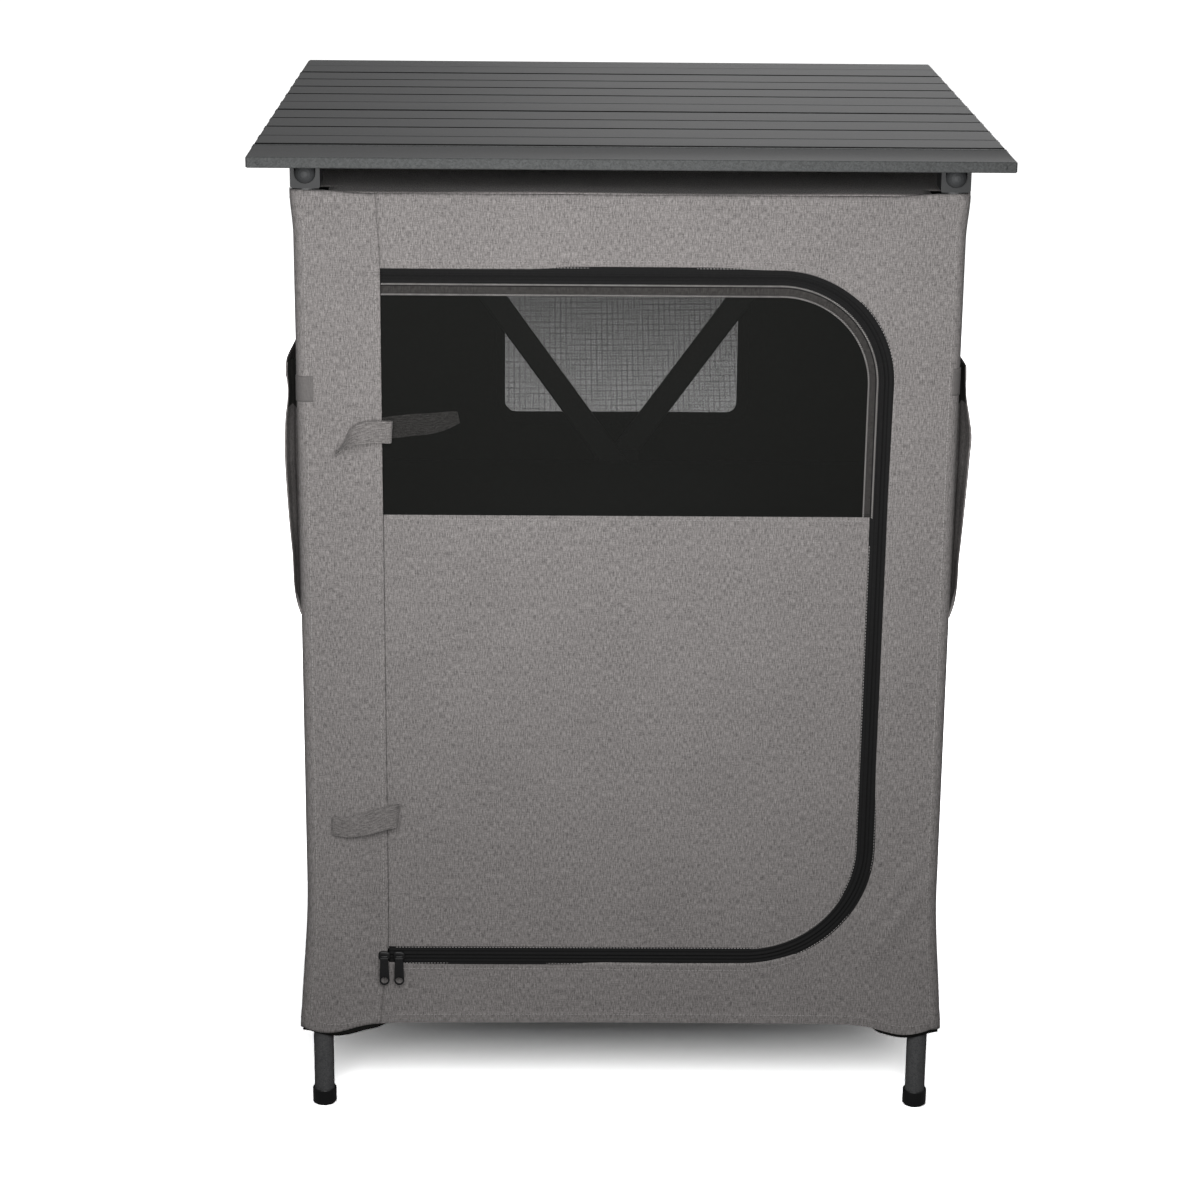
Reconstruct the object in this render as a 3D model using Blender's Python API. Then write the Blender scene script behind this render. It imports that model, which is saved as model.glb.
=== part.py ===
"""A fabric camp kitchen cupboard: a roll-up slatted table top on a folding tube frame.

Two side frames, left and right, stand on telescoping legs. Each side frame has a front and a
rear leg, a cradle on each leg top, a rail that lies in the two cradles, and a low side bar
between the inner leg tubes. Two crossed struts join the side frames at the rear, so the stand
folds flat sideways once the table top has been lifted off and rolled up. A fabric body hangs
inside the frame: roof, sides, rear panel with a net window, front surround, a zip door with a
net window, a middle shelf, a floor, and a flat pocket on each side.

Metres, +Z up, +Y to the rear, +X to the right. The origin is on the ground under the middle.
"""

import math

import bmesh
import bpy
from mathutils import Matrix, Vector

# Overall sizes
TABLE_WIDTH = 0.660
TABLE_DEPTH = 0.660
TABLE_HEIGHT = 0.910
LEG_SPACING_ACROSS = 0.563
LEG_SPACING_DEEP = 0.563
SEAT_GAP = 0.0003
OVERRUN = 0.0005

# Table top
SLAT_THICKNESS = 0.0095
SLAT_WALL = 0.0013
SLAT_LIP = 0.006
SLAT_EDGE_ROUND = 0.0009
SLAT_JOINT_GAP = 0.0008
REAR_SLAT_DEPTH = 0.0993
FRONT_SLAT_DEPTH = 0.0698
INNER_SLAT_COUNT = 9
RIB_SPACING = 0.048
GROOVE_FROM_REAR = 0.047
GROOVE_WIDTH = 0.0012
GROOVE_DEPTH = 0.0005
BEAD_WIDTH = 0.014
BEAD_HEIGHT = 0.0008
BEAD_SLOPE = 0.0012
END_PLATE = 0.0015
KNUCKLE_THICKNESS = 0.0022
KNUCKLE_RADIUS = 0.0046
KNUCKLE_DROP = 0.0048
KNUCKLE_BOSS = 0.0034

# Rails and cradles
RAIL_RADIUS = 0.009
RAIL_OVERHANG = 0.0155
RAIL_GROOVE_WIDTH = 0.0012
RAIL_GROOVE_DEPTH = 0.0005
RAIL_PLUG_LENGTH = 0.007
CRADLE_WIDTH = 0.026
CRADLE_LENGTH = 0.030
CRADLE_FLOOR = 0.0038
CRADLE_TOP_GAP = 0.0020
CRADLE_PLUG_LENGTH = 0.022
CRADLE_BEVEL = 0.0012

# Legs
UPPER_TUBE_RADIUS = 0.011
UPPER_TUBE_BORE_RADIUS = 0.010
UPPER_TUBE_FROM_GROUND = 0.162
LOWER_TUBE_RADIUS = 0.0095
LOWER_TUBE_BORE_RADIUS = 0.0083
LOWER_TUBE_IN_UPPER = 0.440
FOOT_RADIUS = 0.0113
FOOT_HEIGHT = 0.016
FOOT_SOLE = 0.0035
FOOT_ROUND = 0.0016
SIDE_BAR_RADIUS = 0.008

# Struts
STRUT_WIDTH = 0.025
STRUT_THICKNESS = 0.008
STRUT_EDGE_ROUND = 0.0024
STRUT_PIVOT_FROM_LEG = 0.029
STRUT_TOP_BELOW_TABLE = 0.077
STRUT_FOOT_FROM_GROUND = 0.133
PIN_RADIUS = 0.003
PIN_HEAD_RADIUS = 0.0055
PIN_HEAD_THICKNESS = 0.0012
LUG_THICKNESS = 0.004
LUG_END_RADIUS = 0.0095
LUG_SLEEVE_WALL = 0.0020
LUG_SLEEVE_HEIGHT = 0.030
CROSS_PLATE_WIDTH = 0.048
CROSS_PLATE_HEIGHT = 0.030
CROSS_PLATE_ROUND = 0.004

# Fabric body
FABRIC = 0.0010
FABRIC_FROM_LEG = 0.0010
HEM_BELOW_TABLE = 0.033
HEM_BOTTOM = 0.079
HEM_ARCH = 0.0095
HEM_WAVE = 0.0035
HEM_WAVE_HEIGHT = 0.070
SIDE_WAVE = 0.0045
SIDE_WAVE_BELOW_POCKET = 0.040
ROOF_BELOW_HEM = 0.0015
CORNER_NOTCH_CLEAR = 0.00286
SHELF_TOP = 0.490
SHELF_THICKNESS = 0.004
SHELF_STRUT_GAP = 0.002
FLOOR_ABOVE_HEM = 0.016
WINDOW_LEFT_MARGIN = 0.1737
WINDOW_RIGHT_MARGIN = 0.1642
WINDOW_TOP_MARGIN = 0.107
WINDOW_HEIGHT = 0.2324
WINDOW_CORNER = 0.012
NET = 0.0006

# Zip door
DOOR_LEFT_MARGIN = 0.0770
DOOR_HINGE_LEFT_OF_SEAM = 0.0022
DOOR_RIGHT_MARGIN = 0.0661
DOOR_RIGHT_TAPER = 0.0042
DOOR_TOP_MARGIN = 0.0750
DOOR_BOTTOM_MARGIN = 0.0785
DOOR_TOP_RADIUS = 0.095
DOOR_BOTTOM_RADIUS = 0.110
ZIP_TAPE_WIDTH = 0.0055
ZIP_TAPE_THICKNESS = 0.0014
ZIP_CHAIN_GAP = 0.0004
NET_SIDE_BORDER = 0.0092
NET_LEFT_BORDER = 0.0047
NET_TOP_BORDER = 0.0132
NET_HEIGHT = 0.1981
NET_CORNER = 0.006
DOOR_WAVE = 0.0040
DOOR_WAVE_TOP_BELOW_NET = 0.050

# Zip sliders and their pulls
SLIDER_WIDTH = 0.0112
SLIDER_HEIGHT = 0.0092
SLIDER_THICKNESS = 0.0026
SLIDER_ROUND = 0.0022
SLIDER_PITCH = 0.0138
FIRST_SLIDER_LEFT_OF_SEAM = 0.0046
PULL_LENGTH = 0.0275
PULL_WIDTH = 0.0094
PULL_TOP_WIDTH = 0.0074
PULL_THICKNESS = 0.0018
PULL_EYE_RADIUS = 0.0033
PULL_PIVOT_BELOW_TOP = 0.0005
PULL_TOP_UNDER_SLIDER = 0.0055

# Side pockets and their webbing tabs
POCKET_BELOW_HEM = 0.162
POCKET_HEIGHT = 0.225
POCKET_DEPTH = 0.0145
POCKET_FOOT = 0.0022
POCKET_HEM_HEIGHT = 0.014
POCKET_HEM_EXTRA = 0.0009
POCKET_INSET = 0.0012
TAB_HEIGHT = 0.0235
TAB_REACH = 0.0150
TAB_THICKNESS = 0.0012
TAB_BELOW_RIM = 0.0030

# Door straps
STRAP_WIDTH = 0.0205
STRAP_THICKNESS = 0.0012
OUTER_STRAP_UPPER_BELOW_HEM = 0.221
OUTER_STRAP_UPPER_LENGTH = 0.033
OUTER_STRAP_LOWER_HEIGHT = 0.293
OUTER_STRAP_LOWER_LENGTH = 0.050
INNER_STRAP_BELOW_HEM = 0.211
INNER_STRAP_LENGTH = 0.060
STRAP_SWAY = 0.0045
STRAP_LIFT = 0.0050

# Facets and shares of a length
ROUND_SIDES = 24
SMALL_ROUND_SIDES = 16
ARC_STEPS = 8
SOFT_ARC_STEPS = 4
SHEET_ROWS = 5
HEM_STEPS = 10
DOME_STEPS = 5
WAVES_ACROSS = 3
ARC_CORNER_SHARE = 0.3
LUG_SLEEVE_TURN_SHARE = 0.64
WAVE_SHARES = (0.62, 0.38)
STRAP_TIP_WIDTH_SHARE = 0.55
POCKET_BULGE_SHARE = 0.10
WELD = 0.000001
SMALLEST_RAY_ANGLE = math.radians(0.05)
SHARP_ANGLE = math.radians(32)

# Places worked out from the sizes above
LEG_X = LEG_SPACING_ACROSS / 2
LEG_Y = LEG_SPACING_DEEP / 2
FABRIC_IN_X = LEG_X + UPPER_TUBE_RADIUS + FABRIC_FROM_LEG
FABRIC_IN_Y = LEG_Y + UPPER_TUBE_RADIUS + FABRIC_FROM_LEG
BODY_X = FABRIC_IN_X + FABRIC
BODY_Y = FABRIC_IN_Y + FABRIC
NOTCH_FROM_LEG = UPPER_TUBE_RADIUS + CORNER_NOTCH_CLEAR
CORNER_NOTCH = 2 * (UPPER_TUBE_RADIUS + FABRIC_FROM_LEG - SEAT_GAP) + math.sqrt(2) * NOTCH_FROM_LEG
SLAT_BOTTOM = TABLE_HEIGHT - SLAT_THICKNESS
RAIL_Z = SLAT_BOTTOM - SEAT_GAP - RAIL_RADIUS
CHANNEL_RADIUS = RAIL_RADIUS + SEAT_GAP
CRADLE_BOTTOM = RAIL_Z - CHANNEL_RADIUS - CRADLE_FLOOR
CRADLE_TOP = SLAT_BOTTOM - CRADLE_TOP_GAP
UPPER_TUBE_TOP = CRADLE_BOTTOM - SEAT_GAP
HEM_TOP = TABLE_HEIGHT - HEM_BELOW_TABLE
LOWER_TUBE_TOP = UPPER_TUBE_FROM_GROUND + LOWER_TUBE_IN_UPPER
FLOOR_BOTTOM = HEM_BOTTOM + FLOOR_ABOVE_HEM
SIDE_BAR_Z = FLOOR_BOTTOM - SEAT_GAP - SIDE_BAR_RADIUS
STRUT_X = LEG_X - STRUT_PIVOT_FROM_LEG
STRUT_TOP_FROM_GROUND = TABLE_HEIGHT - STRUT_TOP_BELOW_TABLE
STRUT_CROSS_Z = (STRUT_TOP_FROM_GROUND + STRUT_FOOT_FROM_GROUND) / 2
STRUT_HALF_HEIGHT = (STRUT_TOP_FROM_GROUND - STRUT_FOOT_FROM_GROUND) / 2
STRUT_HALF_LENGTH = math.hypot(STRUT_X, STRUT_HALF_HEIGHT)
STRUT_LEAN = math.atan2(STRUT_X, STRUT_HALF_HEIGHT)
LUG_FRONT = LEG_Y - LUG_THICKNESS / 2
LUG_BACK = LEG_Y + LUG_THICKNESS / 2
STRUT_A_BACK = LUG_FRONT - SEAT_GAP
STRUT_A_FRONT = STRUT_A_BACK - STRUT_THICKNESS
STRUT_B_FRONT = LUG_BACK + SEAT_GAP
STRUT_B_BACK = STRUT_B_FRONT + STRUT_THICKNESS
POCKET_TOP = HEM_TOP - POCKET_BELOW_HEM
POCKET_BOTTOM = POCKET_TOP - POCKET_HEIGHT
SIDE_WAVE_TOP = POCKET_BOTTOM - SIDE_WAVE_BELOW_POCKET
SEAM_X = -BODY_X + DOOR_LEFT_MARGIN
DOOR_HINGE_X = SEAM_X - DOOR_HINGE_LEFT_OF_SEAM
DOOR_RIGHT = BODY_X - DOOR_RIGHT_MARGIN
DOOR_RIGHT_LOW = DOOR_RIGHT - DOOR_RIGHT_TAPER
DOOR_TOP = HEM_TOP - DOOR_TOP_MARGIN
DOOR_BOTTOM = HEM_BOTTOM + DOOR_BOTTOM_MARGIN
TAPE_SPAN = ZIP_CHAIN_GAP / 2 + ZIP_TAPE_WIDTH
NET_TOP = DOOR_TOP - TAPE_SPAN - SEAT_GAP - NET_TOP_BORDER
NET_BOTTOM = NET_TOP - NET_HEIGHT
BODY_FRONT = -BODY_Y
TAPE_FRONT = BODY_FRONT - (ZIP_TAPE_THICKNESS - FABRIC)
SLIDER_BACK = TAPE_FRONT - SEAT_GAP
SLIDER_FRONT = SLIDER_BACK - SLIDER_THICKNESS
PULL_AXIS_Y = SLIDER_FRONT - SEAT_GAP - PULL_THICKNESS / 2
PULL_TOP_Z = DOOR_BOTTOM + SLIDER_HEIGHT / 2 - PULL_TOP_UNDER_SLIDER
PULL_AXIS_Z = PULL_TOP_Z - PULL_PIVOT_BELOW_TOP
INNER_SLAT_PITCH = (
    TABLE_DEPTH - REAR_SLAT_DEPTH - FRONT_SLAT_DEPTH - SLAT_JOINT_GAP
) / INNER_SLAT_COUNT
SLAT_END_X = TABLE_WIDTH / 2 - KNUCKLE_THICKNESS


def clear_scene():
    for obj in list(bpy.data.objects):
        bpy.data.objects.remove(obj, do_unlink=True)


def make_material(name, colour, roughness, metallic=0.0):
    material = bpy.data.materials.new(name)
    material.use_nodes = True
    shader = material.node_tree.nodes["Principled BSDF"]
    shader.inputs["Base Color"].default_value = (*colour, 1.0)
    shader.inputs["Roughness"].default_value = roughness
    shader.inputs["Metallic"].default_value = metallic
    return material


def make_materials():
    return {
        "slat": make_material("powder_coated_aluminium", (0.115, 0.115, 0.115), 0.45, 0.3),
        "tube": make_material("grey_coated_steel", (0.05, 0.05, 0.05), 0.45, 0.3),
        "strut": make_material("grey_coated_aluminium", (0.035, 0.035, 0.035), 0.45, 0.3),
        "plastic": make_material("black_plastic", (0.022, 0.022, 0.023), 0.45),
        "rubber": make_material("black_rubber", (0.018, 0.018, 0.018), 0.75),
        "fabric": make_material("grey_linen_look_fabric", (0.225, 0.212, 0.203), 0.9),
        "lining": make_material("dark_lining_fabric", (0.030, 0.030, 0.031), 0.9),
        "net": make_material("black_net", (0.015, 0.015, 0.016), 0.8),
        "webbing": make_material("grey_webbing", (0.16, 0.155, 0.15), 0.8),
        "zip": make_material("black_zip_tape", (0.020, 0.020, 0.020), 0.7),
        "metal": make_material("black_enamelled_zinc", (0.020, 0.020, 0.020), 0.35, 0.5),
    }


def make_pivot(name, place, parent=None):
    """An empty on a joint's axis. Its pieces hang from it, so turning or moving it moves them."""
    pivot = bpy.data.objects.new(name, None)
    bpy.context.scene.collection.objects.link(pivot)
    pivot["place"] = place
    pivot.location = Vector(place) - Vector(parent["place"] if parent else (0, 0, 0))
    pivot.parent = parent
    return pivot


def add_piece(name, bm, material, pivot):
    """Makes the object from a mesh in world coordinates and hangs it from its pivot."""
    bmesh.ops.translate(bm, verts=bm.verts, vec=-Vector(pivot["place"]))
    mesh = bpy.data.meshes.new(name)
    bm.to_mesh(mesh)
    bm.free()
    mesh.materials.append(material)
    mesh.shade_smooth()
    mesh.set_sharp_from_angle(angle=SHARP_ANGLE)
    piece = bpy.data.objects.new(name, mesh)
    bpy.context.scene.collection.objects.link(piece)
    piece.parent = pivot
    return piece


def combined(first, second, operation):
    """The Boolean of two meshes, as one new mesh."""
    objects = []
    for bm in (first, second):
        mesh = bpy.data.meshes.new("boolean_side")
        bm.to_mesh(mesh)
        bm.free()
        obj = bpy.data.objects.new("boolean_side", mesh)
        bpy.context.scene.collection.objects.link(obj)
        objects.append(obj)
    modifier = objects[0].modifiers.new("join", "BOOLEAN")
    modifier.operation = operation
    modifier.solver = "EXACT"
    modifier.object = objects[1]
    graph = bpy.context.evaluated_depsgraph_get()
    result = bmesh.new()
    result.from_object(objects[0], graph)
    for obj in objects:
        bpy.data.objects.remove(obj, do_unlink=True)
    bmesh.ops.dissolve_degenerate(result, edges=result.edges, dist=WELD)
    return result


def fused(*solids):
    whole = solids[0]
    for solid in solids[1:]:
        whole = combined(whole, solid, "UNION")
    return whole


def cut(solid, *cutters):
    for cutter in cutters:
        solid = combined(solid, cutter, "DIFFERENCE")
    return solid


def in_plane(axis, a, b, level):
    """A point from its two coordinates in a plane across the axis and its level along it."""
    return {"X": (level, a, b), "Y": (a, level, b), "Z": (a, b, level)}[axis]


def prism(outline, axis, low, high):
    """A closed outline, extruded along an axis from low to high."""
    bm = bmesh.new()
    base = bm.faces.new([bm.verts.new(in_plane(axis, a, b, low)) for a, b in outline])
    moved = bmesh.ops.extrude_face_region(bm, geom=[base])["geom"]
    top = [item for item in moved if isinstance(item, bmesh.types.BMVert)]
    bmesh.ops.translate(bm, verts=top, vec=in_plane(axis, 0, 0, high - low))
    bmesh.ops.recalc_face_normals(bm, faces=bm.faces)
    return bm


def turned(profile, axis, place, sides, hollow=False):
    """A profile of (radius, height) points, turned about an axis through a place."""
    bm = bmesh.new()
    points = [bm.verts.new((radius, 0, height)) for radius, height in profile]
    edges = [bm.edges.new(pair) for pair in zip(points, points[1:])]
    if hollow:
        edges.append(bm.edges.new((points[-1], points[0])))
    bmesh.ops.spin(
        bm, geom=points + edges, cent=(0, 0, 0), axis=(0, 0, 1), angle=math.tau, steps=sides
    )
    bmesh.ops.remove_doubles(bm, verts=bm.verts, dist=WELD)
    turns = {"X": Matrix.Rotation(math.pi / 2, 4, "Y"), "Y": Matrix.Rotation(-math.pi / 2, 4, "X")}
    bmesh.ops.transform(bm, matrix=turns.get(axis, Matrix()), verts=bm.verts)
    bmesh.ops.translate(bm, verts=bm.verts, vec=place)
    bmesh.ops.recalc_face_normals(bm, faces=bm.faces)
    return bm


def shell(fronts, backs, closed=False):
    """A sheet between two grids of points: rows of points, each row a loop where closed is set."""
    bm = bmesh.new()
    sides = [[[bm.verts.new(p) for p in row] for row in grid] for grid in (fronts, backs)]
    front, back = sides
    rows, columns = len(front), len(front[0])
    steps = columns if closed else columns - 1
    for r in range(rows - 1):
        for c in range(steps):
            d = (c + 1) % columns
            bm.faces.new((front[r][c], front[r][d], front[r + 1][d], front[r + 1][c]))
            bm.faces.new((back[r][c], back[r + 1][c], back[r + 1][d], back[r][d]))
    for r in (0, rows - 1):
        for c in range(steps):
            d = (c + 1) % columns
            bm.faces.new((front[r][c], back[r][c], back[r][d], front[r][d]))
    if not closed:
        for c in (0, columns - 1):
            for r in range(rows - 1):
                bm.faces.new((front[r][c], front[r + 1][c], back[r + 1][c], back[r][c]))
    bmesh.ops.recalc_face_normals(bm, faces=bm.faces)
    return bm


def arc(centre, radius, start, end, steps):
    """Points of an arc, with its angles in quarter turns."""
    turns = [start + (end - start) * step / steps for step in range(steps + 1)]
    return [
        (
            centre[0] + radius * math.cos(turn * math.pi / 2),
            centre[1] + radius * math.sin(turn * math.pi / 2),
        )
        for turn in turns
    ]


def rounded_box(left, right, low, high, radius, steps):
    """The outline of a rectangle with round corners."""
    return (
        arc((right - radius, high - radius), radius, 1, 0, steps)
        + arc((right - radius, low + radius), radius, 0, -1, steps)
        + arc((left + radius, low + radius), radius, -1, -2, steps)
        + arc((left + radius, high - radius), radius, 2, 1, steps)
    )


def box_outline(left, right, low, high):
    return [(left, low), (left, high), (right, high), (right, low)]


def ray_reach(outline, centre, angle):
    """How far a ray from the centre runs before it leaves the outline."""
    way = (math.cos(angle), math.sin(angle))
    best = 0.0
    for (ax, ay), (bx, by) in zip(outline, outline[1:] + outline[:1]):
        ex, ey = bx - ax, by - ay
        cross = way[0] * ey - way[1] * ex
        if abs(cross) < WELD * WELD:
            continue
        reach = ((ax - centre[0]) * ey - (ay - centre[1]) * ex) / cross
        along = ((ax - centre[0]) * way[1] - (ay - centre[1]) * way[0]) / cross
        if -WELD <= along <= 1 + WELD:
            best = max(best, reach)
    return best


def ring_loops(inner, outer, rows):
    """Loops of points that run from an inner outline to an outer one round it, with their shares."""
    xs = [x for x, _ in inner]
    zs = [z for _, z in inner]
    centre = ((min(xs) + max(xs)) / 2, (min(zs) + max(zs)) / 2)
    angles = []
    for x, z in outer + inner:
        angle = math.atan2(z - centre[1], x - centre[0])
        if all(abs(math.remainder(angle - other, math.tau)) > SMALLEST_RAY_ANGLE for other in angles):
            angles.append(angle)
    angles.sort(reverse=True)
    loops = []
    for row in range(rows + 1):
        share = row / rows
        loop = []
        for angle in angles:
            near = ray_reach(inner, centre, angle)
            far = ray_reach(outer, centre, angle)
            reach = near + (far - near) * share
            loop.append((centre[0] + reach * math.cos(angle), centre[1] + reach * math.sin(angle)))
        loops.append((share, loop))
    return loops


def ring_panel(inner, outer, plane, outward, lift):
    """A panel across Y with a hole: lift(x, z, share) moves it outward by that length."""
    fronts, backs = [], []
    for share, loop in ring_loops(inner, outer, SHEET_ROWS):
        levels = [plane + outward * lift(x, z, share) for x, z in loop]
        fronts.append([(x, y, z) for (x, z), y in zip(loop, levels)])
        backs.append([(x, y - outward * FABRIC, z) for (x, z), y in zip(loop, levels)])
    return shell(fronts, backs, closed=True)


def smooth_step(share):
    share = min(max(share, 0.0), 1.0)
    return share * share * (3 - 2 * share)


def wave(share):
    """Soft folds across a panel, from 0 to 1 and back to 0 at both edges."""
    window = math.sin(math.pi * share)
    broad = math.sin(math.pi * WAVES_ACROSS * share) ** 2
    fine = math.sin(math.pi * (WAVES_ACROSS + 2) * share) ** 2
    return window * (WAVE_SHARES[0] * broad + WAVE_SHARES[1] * fine)


# Frame


def leg_tubes(end, side, x, y, materials, upper, lower):
    """The outer tube, the inner tube that telescopes in it, and the foot cap."""
    outer = [
        (UPPER_TUBE_BORE_RADIUS, UPPER_TUBE_FROM_GROUND),
        (UPPER_TUBE_RADIUS, UPPER_TUBE_FROM_GROUND),
        (UPPER_TUBE_RADIUS, UPPER_TUBE_TOP),
        (UPPER_TUBE_BORE_RADIUS, UPPER_TUBE_TOP),
    ]
    bm = turned(outer, "Z", (x, y, 0), ROUND_SIDES, hollow=True)
    add_piece(f"leg_upper_{end}_{side}", bm, materials["tube"], upper)
    foot_seat = FOOT_SOLE + SEAT_GAP
    inner = [
        (LOWER_TUBE_BORE_RADIUS, foot_seat),
        (LOWER_TUBE_RADIUS, foot_seat),
        (LOWER_TUBE_RADIUS, LOWER_TUBE_TOP),
        (LOWER_TUBE_BORE_RADIUS, LOWER_TUBE_TOP),
    ]
    bm = turned(inner, "Z", (x, y, 0), ROUND_SIDES, hollow=True)
    add_piece(f"leg_lower_{end}_{side}", bm, materials["tube"], lower)
    bore = LOWER_TUBE_RADIUS + SEAT_GAP
    rim = (FOOT_RADIUS + bore) / 2
    foot = [
        (0, 0),
        (FOOT_RADIUS - FOOT_ROUND, 0),
        (FOOT_RADIUS, FOOT_ROUND),
        (FOOT_RADIUS, FOOT_HEIGHT - FOOT_ROUND / 2),
        (rim, FOOT_HEIGHT),
        (bore, FOOT_HEIGHT - FOOT_ROUND / 2),
        (bore, FOOT_SOLE),
        (0, FOOT_SOLE),
    ]
    bm = turned(foot, "Z", (x, y, 0), ROUND_SIDES)
    add_piece(f"foot_{end}_{side}", bm, materials["rubber"], lower)


def cradle(end, side, x, y, materials, pivot):
    """A block with a U-channel open at the top, and a plug that sits in the leg tube."""
    half_width, half_length = CRADLE_WIDTH / 2, CRADLE_LENGTH / 2
    channel = arc((x, RAIL_Z), CHANNEL_RADIUS, 2, 4, ARC_STEPS)
    outline = [
        *channel,
        (x + CHANNEL_RADIUS, CRADLE_TOP),
        (x + half_width - CRADLE_BEVEL, CRADLE_TOP),
        (x + half_width, CRADLE_TOP - CRADLE_BEVEL),
        (x + half_width, CRADLE_BOTTOM + CRADLE_BEVEL),
        (x + half_width - CRADLE_BEVEL, CRADLE_BOTTOM),
        (x - half_width + CRADLE_BEVEL, CRADLE_BOTTOM),
        (x - half_width, CRADLE_BOTTOM + CRADLE_BEVEL),
        (x - half_width, CRADLE_TOP - CRADLE_BEVEL),
        (x - half_width + CRADLE_BEVEL, CRADLE_TOP),
        (x - CHANNEL_RADIUS, CRADLE_TOP),
    ]
    block = prism(outline, "Y", y - half_length, y + half_length)
    radius = UPPER_TUBE_BORE_RADIUS - SEAT_GAP
    plug = [
        (0, CRADLE_BOTTOM - CRADLE_PLUG_LENGTH),
        (radius - CRADLE_BEVEL, CRADLE_BOTTOM - CRADLE_PLUG_LENGTH),
        (radius, CRADLE_BOTTOM - CRADLE_PLUG_LENGTH + CRADLE_BEVEL),
        (radius, CRADLE_BOTTOM + CRADLE_FLOOR / 2),
        (0, CRADLE_BOTTOM + CRADLE_FLOOR / 2),
    ]
    bm = fused(block, turned(plug, "Z", (x, y, 0), ROUND_SIDES))
    add_piece(f"cradle_{end}_{side}", bm, materials["plastic"], pivot)


def rail(side, x, materials, pivot):
    """A front-to-back rail with a domed plug in each end and a fine groove where it meets the tube."""
    reach = LEG_Y + RAIL_OVERHANG
    groove = reach - RAIL_PLUG_LENGTH
    half = [
        (RAIL_RADIUS, 0),
        (RAIL_RADIUS, groove - RAIL_GROOVE_WIDTH),
        (RAIL_RADIUS - RAIL_GROOVE_DEPTH, groove - RAIL_GROOVE_WIDTH / 2),
        (RAIL_RADIUS, groove),
        *arc((0, reach), RAIL_RADIUS, 0, 1, DOME_STEPS)[:-1],
        (0, reach + RAIL_RADIUS),
    ]
    profile = [(radius, -height) for radius, height in reversed(half)] + half[1:]
    bm = turned(profile, "Y", (x, 0, RAIL_Z), ROUND_SIDES)
    add_piece(f"rail_{side}", bm, materials["tube"], pivot)


def side_bar(side, x, materials, pivot):
    """The low bar under the floor, between the inner leg tubes, its ends coped round them."""
    length = LEG_Y - LOWER_TUBE_RADIUS / 2
    bar = [(0, -length), (SIDE_BAR_RADIUS, -length), (SIDE_BAR_RADIUS, length), (0, length)]
    bm = turned(bar, "Y", (x, 0, SIDE_BAR_Z), SMALL_ROUND_SIDES)
    radius = LOWER_TUBE_RADIUS + SEAT_GAP
    low = SIDE_BAR_Z - SIDE_BAR_RADIUS * 2
    high = SIDE_BAR_Z + SIDE_BAR_RADIUS * 2
    for y in (-LEG_Y, LEG_Y):
        cope = [(0, low), (radius, low), (radius, high), (0, high)]
        bm = cut(bm, turned(cope, "Z", (x, y, 0), ROUND_SIDES))
    add_piece(f"side_bar_{side}", bm, materials["tube"], pivot)


def strut_lug(level, side, z, tube_radius, materials, pivot):
    """A half sleeve on the inner side of a rear leg, with an eye for the strut's pin."""
    inward = 1 if side == "left" else -1
    leg = -inward * LEG_X
    eye = -inward * STRUT_X
    low, high = z - LUG_SLEEVE_HEIGHT / 2, z + LUG_SLEEVE_HEIGHT / 2
    near, far = tube_radius + SEAT_GAP, tube_radius + SEAT_GAP + LUG_SLEEVE_WALL
    start, end = 1 - inward - LUG_SLEEVE_TURN_SHARE, 1 - inward + LUG_SLEEVE_TURN_SHARE
    sleeve = prism(
        arc((leg, LEG_Y), far, start, end, ARC_STEPS)
        + arc((leg, LEG_Y), near, end, start, ARC_STEPS),
        "Z",
        low,
        high,
    )
    root = leg + inward * (near + far) / 2
    outline = [(root, z + LUG_SLEEVE_HEIGHT / 3), (root, z - LUG_SLEEVE_HEIGHT / 3)]
    round_end = arc((eye, z), LUG_END_RADIUS, -inward, inward, ARC_STEPS)
    if inward < 0:
        round_end = arc((eye, z), LUG_END_RADIUS, -1, -3, ARC_STEPS)
    plate = prism(outline + round_end, "Y", LUG_FRONT, LUG_BACK)
    hole = PIN_RADIUS + SEAT_GAP
    depth = LUG_THICKNESS
    bore = [(0, -depth), (hole, -depth), (hole, depth), (0, depth)]
    bm = cut(fused(sleeve, plate), turned(bore, "Y", (eye, LEG_Y, z), SMALL_ROUND_SIDES))
    add_piece(f"strut_lug_{level}_{side}", bm, materials["tube"], pivot)


def side_frame(side, materials, upper, lower):
    """All of one side frame: the upper part hangs from one pivot, the lower part from the other."""
    x = -LEG_X if side == "left" else LEG_X
    for end, y in (("front", -LEG_Y), ("rear", LEG_Y)):
        leg_tubes(end, side, x, y, materials, upper, lower)
        cradle(end, side, x, y, materials, upper)
    rail(side, x, materials, upper)
    side_bar(side, x, materials, lower)
    strut_lug("upper", side, STRUT_TOP_FROM_GROUND, UPPER_TUBE_RADIUS, materials, upper)
    strut_lug("lower", side, STRUT_FOOT_FROM_GROUND, LOWER_TUBE_RADIUS, materials, lower)


def pin(x, z, start, end, head):
    """A pin along Y from start to end, with a round head past its end where head is set."""
    way = 1 if end > start else -1
    profile = [(0, start), (PIN_RADIUS, start), (PIN_RADIUS, end)]
    if head:
        profile += [(PIN_HEAD_RADIUS, end), (PIN_HEAD_RADIUS, end + way * PIN_HEAD_THICKNESS)]
    profile.append((0, profile[-1][1]))
    return turned(profile, "Y", (x, 0, z), SMALL_ROUND_SIDES)


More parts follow.
